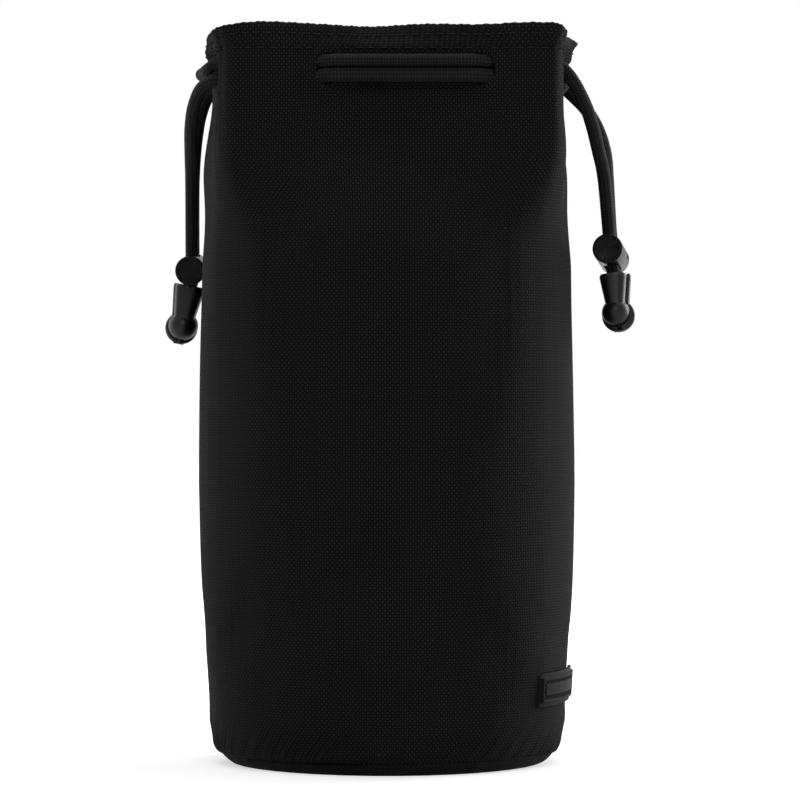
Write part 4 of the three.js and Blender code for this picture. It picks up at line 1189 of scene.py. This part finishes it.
def make_lock(side):
    here = lock_frame(side) @ Matrix.Translation((0, -SLOT_MIDDLE, 0))
    outer = [(0.01, 0.14), (3.5, 0.14), (3.54, 0), *round_edge(BARREL_RADIUS, 0.55), (BARREL_RADIUS, 9),
             *round_top(BARREL_RADIUS, BARREL_LENGTH, 0.35)]
    bore = [(BARREL_BORE + 0.15, BARREL_LENGTH), (BARREL_BORE, 18.3), (BARREL_BORE, BARREL_FLOOR),
            (0.01, BARREL_FLOOR)]
    barrel = turned(f"{side}_barrel", outer + bore, 72, black_plastic)
    carved(barrel, cord_slot(4.6), block("window", (-6, 12.9, -0.8), (6, 16.7, 0.8)))
    body = [(0.01, 4.4), (1.2, 4.4), (1.3, 4.5), (1.3, 5.4), (3.0, 5.4), (PLUNGER_RADIUS, 5.6),
            (PLUNGER_RADIUS, 12), *round_top(PLUNGER_RADIUS, PLUNGER_TOP, 0.7), (0.01, PLUNGER_TOP)]
    plunger = turned(f"{side}_plunger", body, 64, black_plastic)
    carved(plunger, block("lugs", (-3.8, 15.2, -0.5), (3.8, 16.4, 0.5)), operation="UNION")
    carved(plunger, cord_slot(6.6))
    softened(barrel, 0.14)
    softened(plunger, 0.12)
    share = np.linspace(0, 1, 160)
    angle = 2 * math.pi * SPRING_TURNS * share
    wire = np.stack([SPRING_RADIUS * np.cos(angle), SPRING_FOOT + SPRING_LENGTH * share,
                     SPRING_RADIUS * np.sin(angle)], axis=1)
    spring = solid_of_rows(f"{side}_spring", tube_points(wire, SPRING_WIRE, 12), spring_wire)
    for piece in (barrel, plunger, spring):
        moved(piece, here)
    dress(barrel, f"{side}_lock", "moulded_plastic", f"{side}_lock_barrel")
    dress(plunger, f"{side}_button", "moulded_plastic", f"{side}_lock_plunger")
    dress(spring, f"{side}_lock", "spring_steel", f"{side}_lock_spring")
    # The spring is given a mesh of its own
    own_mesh(spring)
    return [barrel, plunger, spring]


# Cord ends: a rear shell, and a front shell that turns on a pin at the foot of the ball

BALL = 4.95
PARTING = -0.5
SHELL_WALL = 0.7
HINGE_DROP = -(BALL - 0.35)
# Radius and half length of the hinge's parts
EARS, KNUCKLE_ROOM, PIN, KNUCKLE, PIN_BORE = (0.85, 1.6), (1.7, 0.7), (0.4, 1.55), (0.8, 0.5), (0.5, 1.5)
# Gap on each side of the line where the shells part
SHELL_GAP = 0.15
KNOT_SIZE, KNOT_PLACE = 0.52, (0, 0.5, -1.4)
# The front shells, right and left: ball radius, shift and rise, half width of the neck and of its outline
LIDS = {1: (4.3, -0.6, 0.95, 3.12, 2.68), -1: (4.65, -0.4, 0.8, 3.4, 3.0)}
NECK_TOPS = {"left": 13.2, "right": 12.4}


def ring_solid(name, rings, square=2.0):
    """A closed solid through rings given as (half width, half depth front, half depth rear, height)."""
    angle = angles_round(64)
    wide, deep = (np.sign(wave) * abs(wave) ** (2 / square) for wave in (np.cos(angle), np.sin(angle)))
    rows = []
    for width, front_depth, rear_depth, height in rings:
        depth = np.where(np.sin(angle) < 0, front_depth, rear_depth)
        rows.append(np.stack([width * wide, depth * deep, np.full(len(angle), height)], axis=1))
    return solid_of_rows(name, np.array(rows), black_plastic)


def skittle(name, wall=0.0, top=12.4, front=5.7, lid=0):
    """The cord end's outer form, a ball under a tapered neck, or its lid's form, drawn in by a wall."""
    radius, shift, rise, neck, _ = LIDS[lid] if lid else (BALL, 0, 0, 3.62, 0)
    rings = []
    for angle in np.linspace(-math.pi / 2 + 0.02, math.pi / 2 - 0.02, 33):
        share = math.cos(angle)
        rings.append(((radius - wall) * share, (front - wall) * share, (5.25 - wall) * share,
                      (radius - wall) * math.sin(angle)))
    solid = moved(ring_solid(name, rings), Matrix.Translation((shift, 0, rise)))
    rings = []
    for height in np.linspace(0.1, top, 24):
        width = neck + 1.2 * np.clip((height - 4) / 8.4, 0, 1) - 0.3 * bell(height - top, 0.4) - wall
        rings.append((width, min(front, 4.75) - wall, 4.75 - wall, height))
    stem = moved(ring_solid("neck", rings, square=2.7), Matrix.Translation((shift * 0.8, 0, 0)))
    return carved(solid, stem, operation="UNION")


def lid_outline(name, way, grown, reach):
    """The front shell's outline, drawn through the cord end. It leaves a strip of the rear shell in view."""
    radius, shift, rise, _, foot = LIDS[way]
    radius, foot = radius + grown, foot + grown
    outline = [(-6.5 - grown, 15), (-6.5 - grown, rise - 0.1),
               *arc(shift, rise, radius, radius, -math.pi, 0.68, 48),
               (foot, 4.2), (foot + 1.16, 12.4), (foot + 1.22, 15)]
    return prism(name, [(way * x, z) for x, z in outline], -9, reach, upright=True)


def pin(name, radius, half_length):
    piece = turned(name, [(radius, -half_length), (radius, half_length)], 24, black_plastic)
    moved(piece, Matrix.Rotation(math.pi / 2, 4, "Z"))
    return moved(piece, Matrix.Translation((0, PARTING, HINGE_DROP)))


def behind(name, y):
    """A cutter for all that lies behind a place."""
    far = 30
    return block(name, (-far, y, -far), (far, far, far))


def make_end(side):
    way = 1 if side == "right" else -1
    top = NECK_TOPS[side]
    rear = skittle(f"{side}_rear_shell", top=top, front=1.9)
    # Behind the strip of it that shows, the rear shell is solid as far as its ledge
    hollow_behind = skittle("hollow_behind", SHELL_WALL, top + 1)
    carved(hollow_behind, behind("rear_half", 0.6), operation="INTERSECT")
    hollow_within = skittle("hollow_within", SHELL_WALL, top + 1)
    carved(hollow_within, lid_outline("ledge", way, -SHELL_GAP, 0.9), operation="INTERSECT")
    carved(rear, hollow_behind, hollow_within, lid_outline("lid_room", way, SHELL_GAP, PARTING + SHELL_GAP))
    ears = carved(pin("ears", *EARS), skittle("form"), operation="INTERSECT")
    carved(rear, ears, operation="UNION")
    carved(rear, pin("knuckle_room", *KNUCKLE_ROOM))
    carved(rear, pin("pin", *PIN), operation="UNION")
    front = skittle(f"{side}_front_shell", top=top, lid=way)
    hollow = skittle("hollow", SHELL_WALL, top + 1, lid=way)
    for solid in (front, hollow):
        solid.data.transform(Matrix.Diagonal((way, 1, 1, 1)))
        face_outward(solid)
    carved(front, hollow, behind("rear_half", PARTING - SHELL_GAP))
    arm = block("arm", (-0.5, PARTING - 0.8, HINGE_DROP), (0.5, PARTING - 0.1, -2.9))
    knuckle = carved(pin("knuckle", *KNUCKLE), skittle("form"), operation="INTERSECT")
    carved(front, carved(knuckle, arm, operation="UNION"), operation="UNION")
    carved(front, pin("bore", *PIN_BORE))
    for piece in (rear, front):
        softened(piece, 0.13)
        for place in range(len(piece.data.materials)):
            piece.data.materials[place] = satin_plastic
    # A simple knot, closed on itself
    a = 2 * math.pi * np.linspace(0, 1, 241)
    knot_line = KNOT_SIZE * np.stack([
        np.sin(a) + 2 * np.sin(2 * a), -1.3 * np.sin(3 * a), np.cos(a) - 2 * np.cos(2 * a)], axis=1)
    knot_line += KNOT_PLACE
    knot = braided_cord(f"{side}_knotted_cord", knot_line, 2.5, sides=20, strands=6, relief=0.12)
    for piece in (rear, front, knot):
        moved(piece, end_frame(side))
    dress(rear, f"{side}_tails", "moulded_plastic", f"{side}_end_rear_shell")
    dress(front, f"{side}_end_lid", "moulded_plastic", f"{side}_end_front_shell")
    dress(knot, f"{side}_tails", "cord_braid", f"{side}_knot")
    return [rear, front, knot]


for side in HANGINGS:
    fittings = make_lock(side) + make_end(side)
    for place in ("front", "rear"):
        tail = tails[f"{side}_tail_{place}"]
        line = evenly(tail_lines[f"{side}_tail_{place}"], 1.0)
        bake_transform(tail)

# Floor, lamps and world

def where_seen(tree):
    """One for rays from the camera, a gloss or glass, and nought for the light that falls on things."""
    rays = add(tree, "ShaderNodeLightPath").outputs
    return calc(tree, "MAXIMUM", rays["Is Camera Ray"],
                ("MAXIMUM", rays["Is Glossy Ray"], rays["Is Transmission Ray"]))


floor_mesh = bpy.data.meshes.new("floor")
floor_mesh.from_pydata([(-6, -6, 0), (6, -6, 0), (6, 6, 0), (-6, 6, 0)], [], [(0, 1, 2, 3)])
pale, tree, shader = new_material("pale floor", 0.9, 0.0)
shader.inputs["Base Color"].default_value = (0.7, 0.7, 0.7, 1)
distance = add(tree, "ShaderNodeVectorMath", {0: object_place(tree)}, operation="LENGTH").outputs["Value"]
brightness = remap(tree, distance, 0.58, 0.98, 0.08, 0.3)
glow = add(tree, "ShaderNodeEmission", {"Color": (1, 1, 1, 1), "Strength": brightness})
lit = add(tree, "ShaderNodeAddShader", {0: shader.outputs[0], 1: glow.outputs[0]})
either = add(tree, "ShaderNodeMixShader", {0: where_seen(tree), 1: shader.outputs[0], 2: lit.outputs[0]})
link(tree, tree.nodes["Material Output"].inputs["Surface"], either.outputs[0])
floor_mesh.materials.append(pale)
in_scene("floor", floor_mesh)

world = bpy.data.worlds.new("studio")
bpy.context.scene.world = world
world.use_nodes = True
tree = world.node_tree
plain, white = (add(tree, "ShaderNodeBackground", {"Color": (1, 1, 1, 1), "Strength": strength})
                for strength in (0.32, 1.0))
mixed = add(tree, "ShaderNodeMixShader", {0: where_seen(tree), 1: plain.outputs[0], 2: white.outputs[0]})
link(tree, tree.nodes["World Output"].inputs["Surface"], mixed.outputs[0])

# Lamps, aimed at the middle of the pouch: place, size and power
LAMPS = [
    ("left softbox", (-1.0, 0.7, 0.4), (0.5, 0.9), 2.8),
    ("right softbox", (1.0, 0.7, 0.4), (0.5, 0.9), 12),
    ("front softbox", (0.1, -1.7, 1.1), (0.7, 0.45), 9),
    ("top softbox", (0, 0.3, 1.4), (1.2, 1.0), 7)]
for name, place, size, power in LAMPS:
    lamp = in_scene(name, bpy.data.lights.new(name, "AREA"))
    lamp.data.shape = "RECTANGLE"
    lamp.data.size, lamp.data.size_y = size
    lamp.data.energy = power
    lamp.location = place
    lamp.rotation_euler = (Vector((0, 0, 0.11)) - Vector(place)).to_track_quat("-Z", "Y").to_euler()

bpy.context.scene.view_settings.view_transform = "Standard"
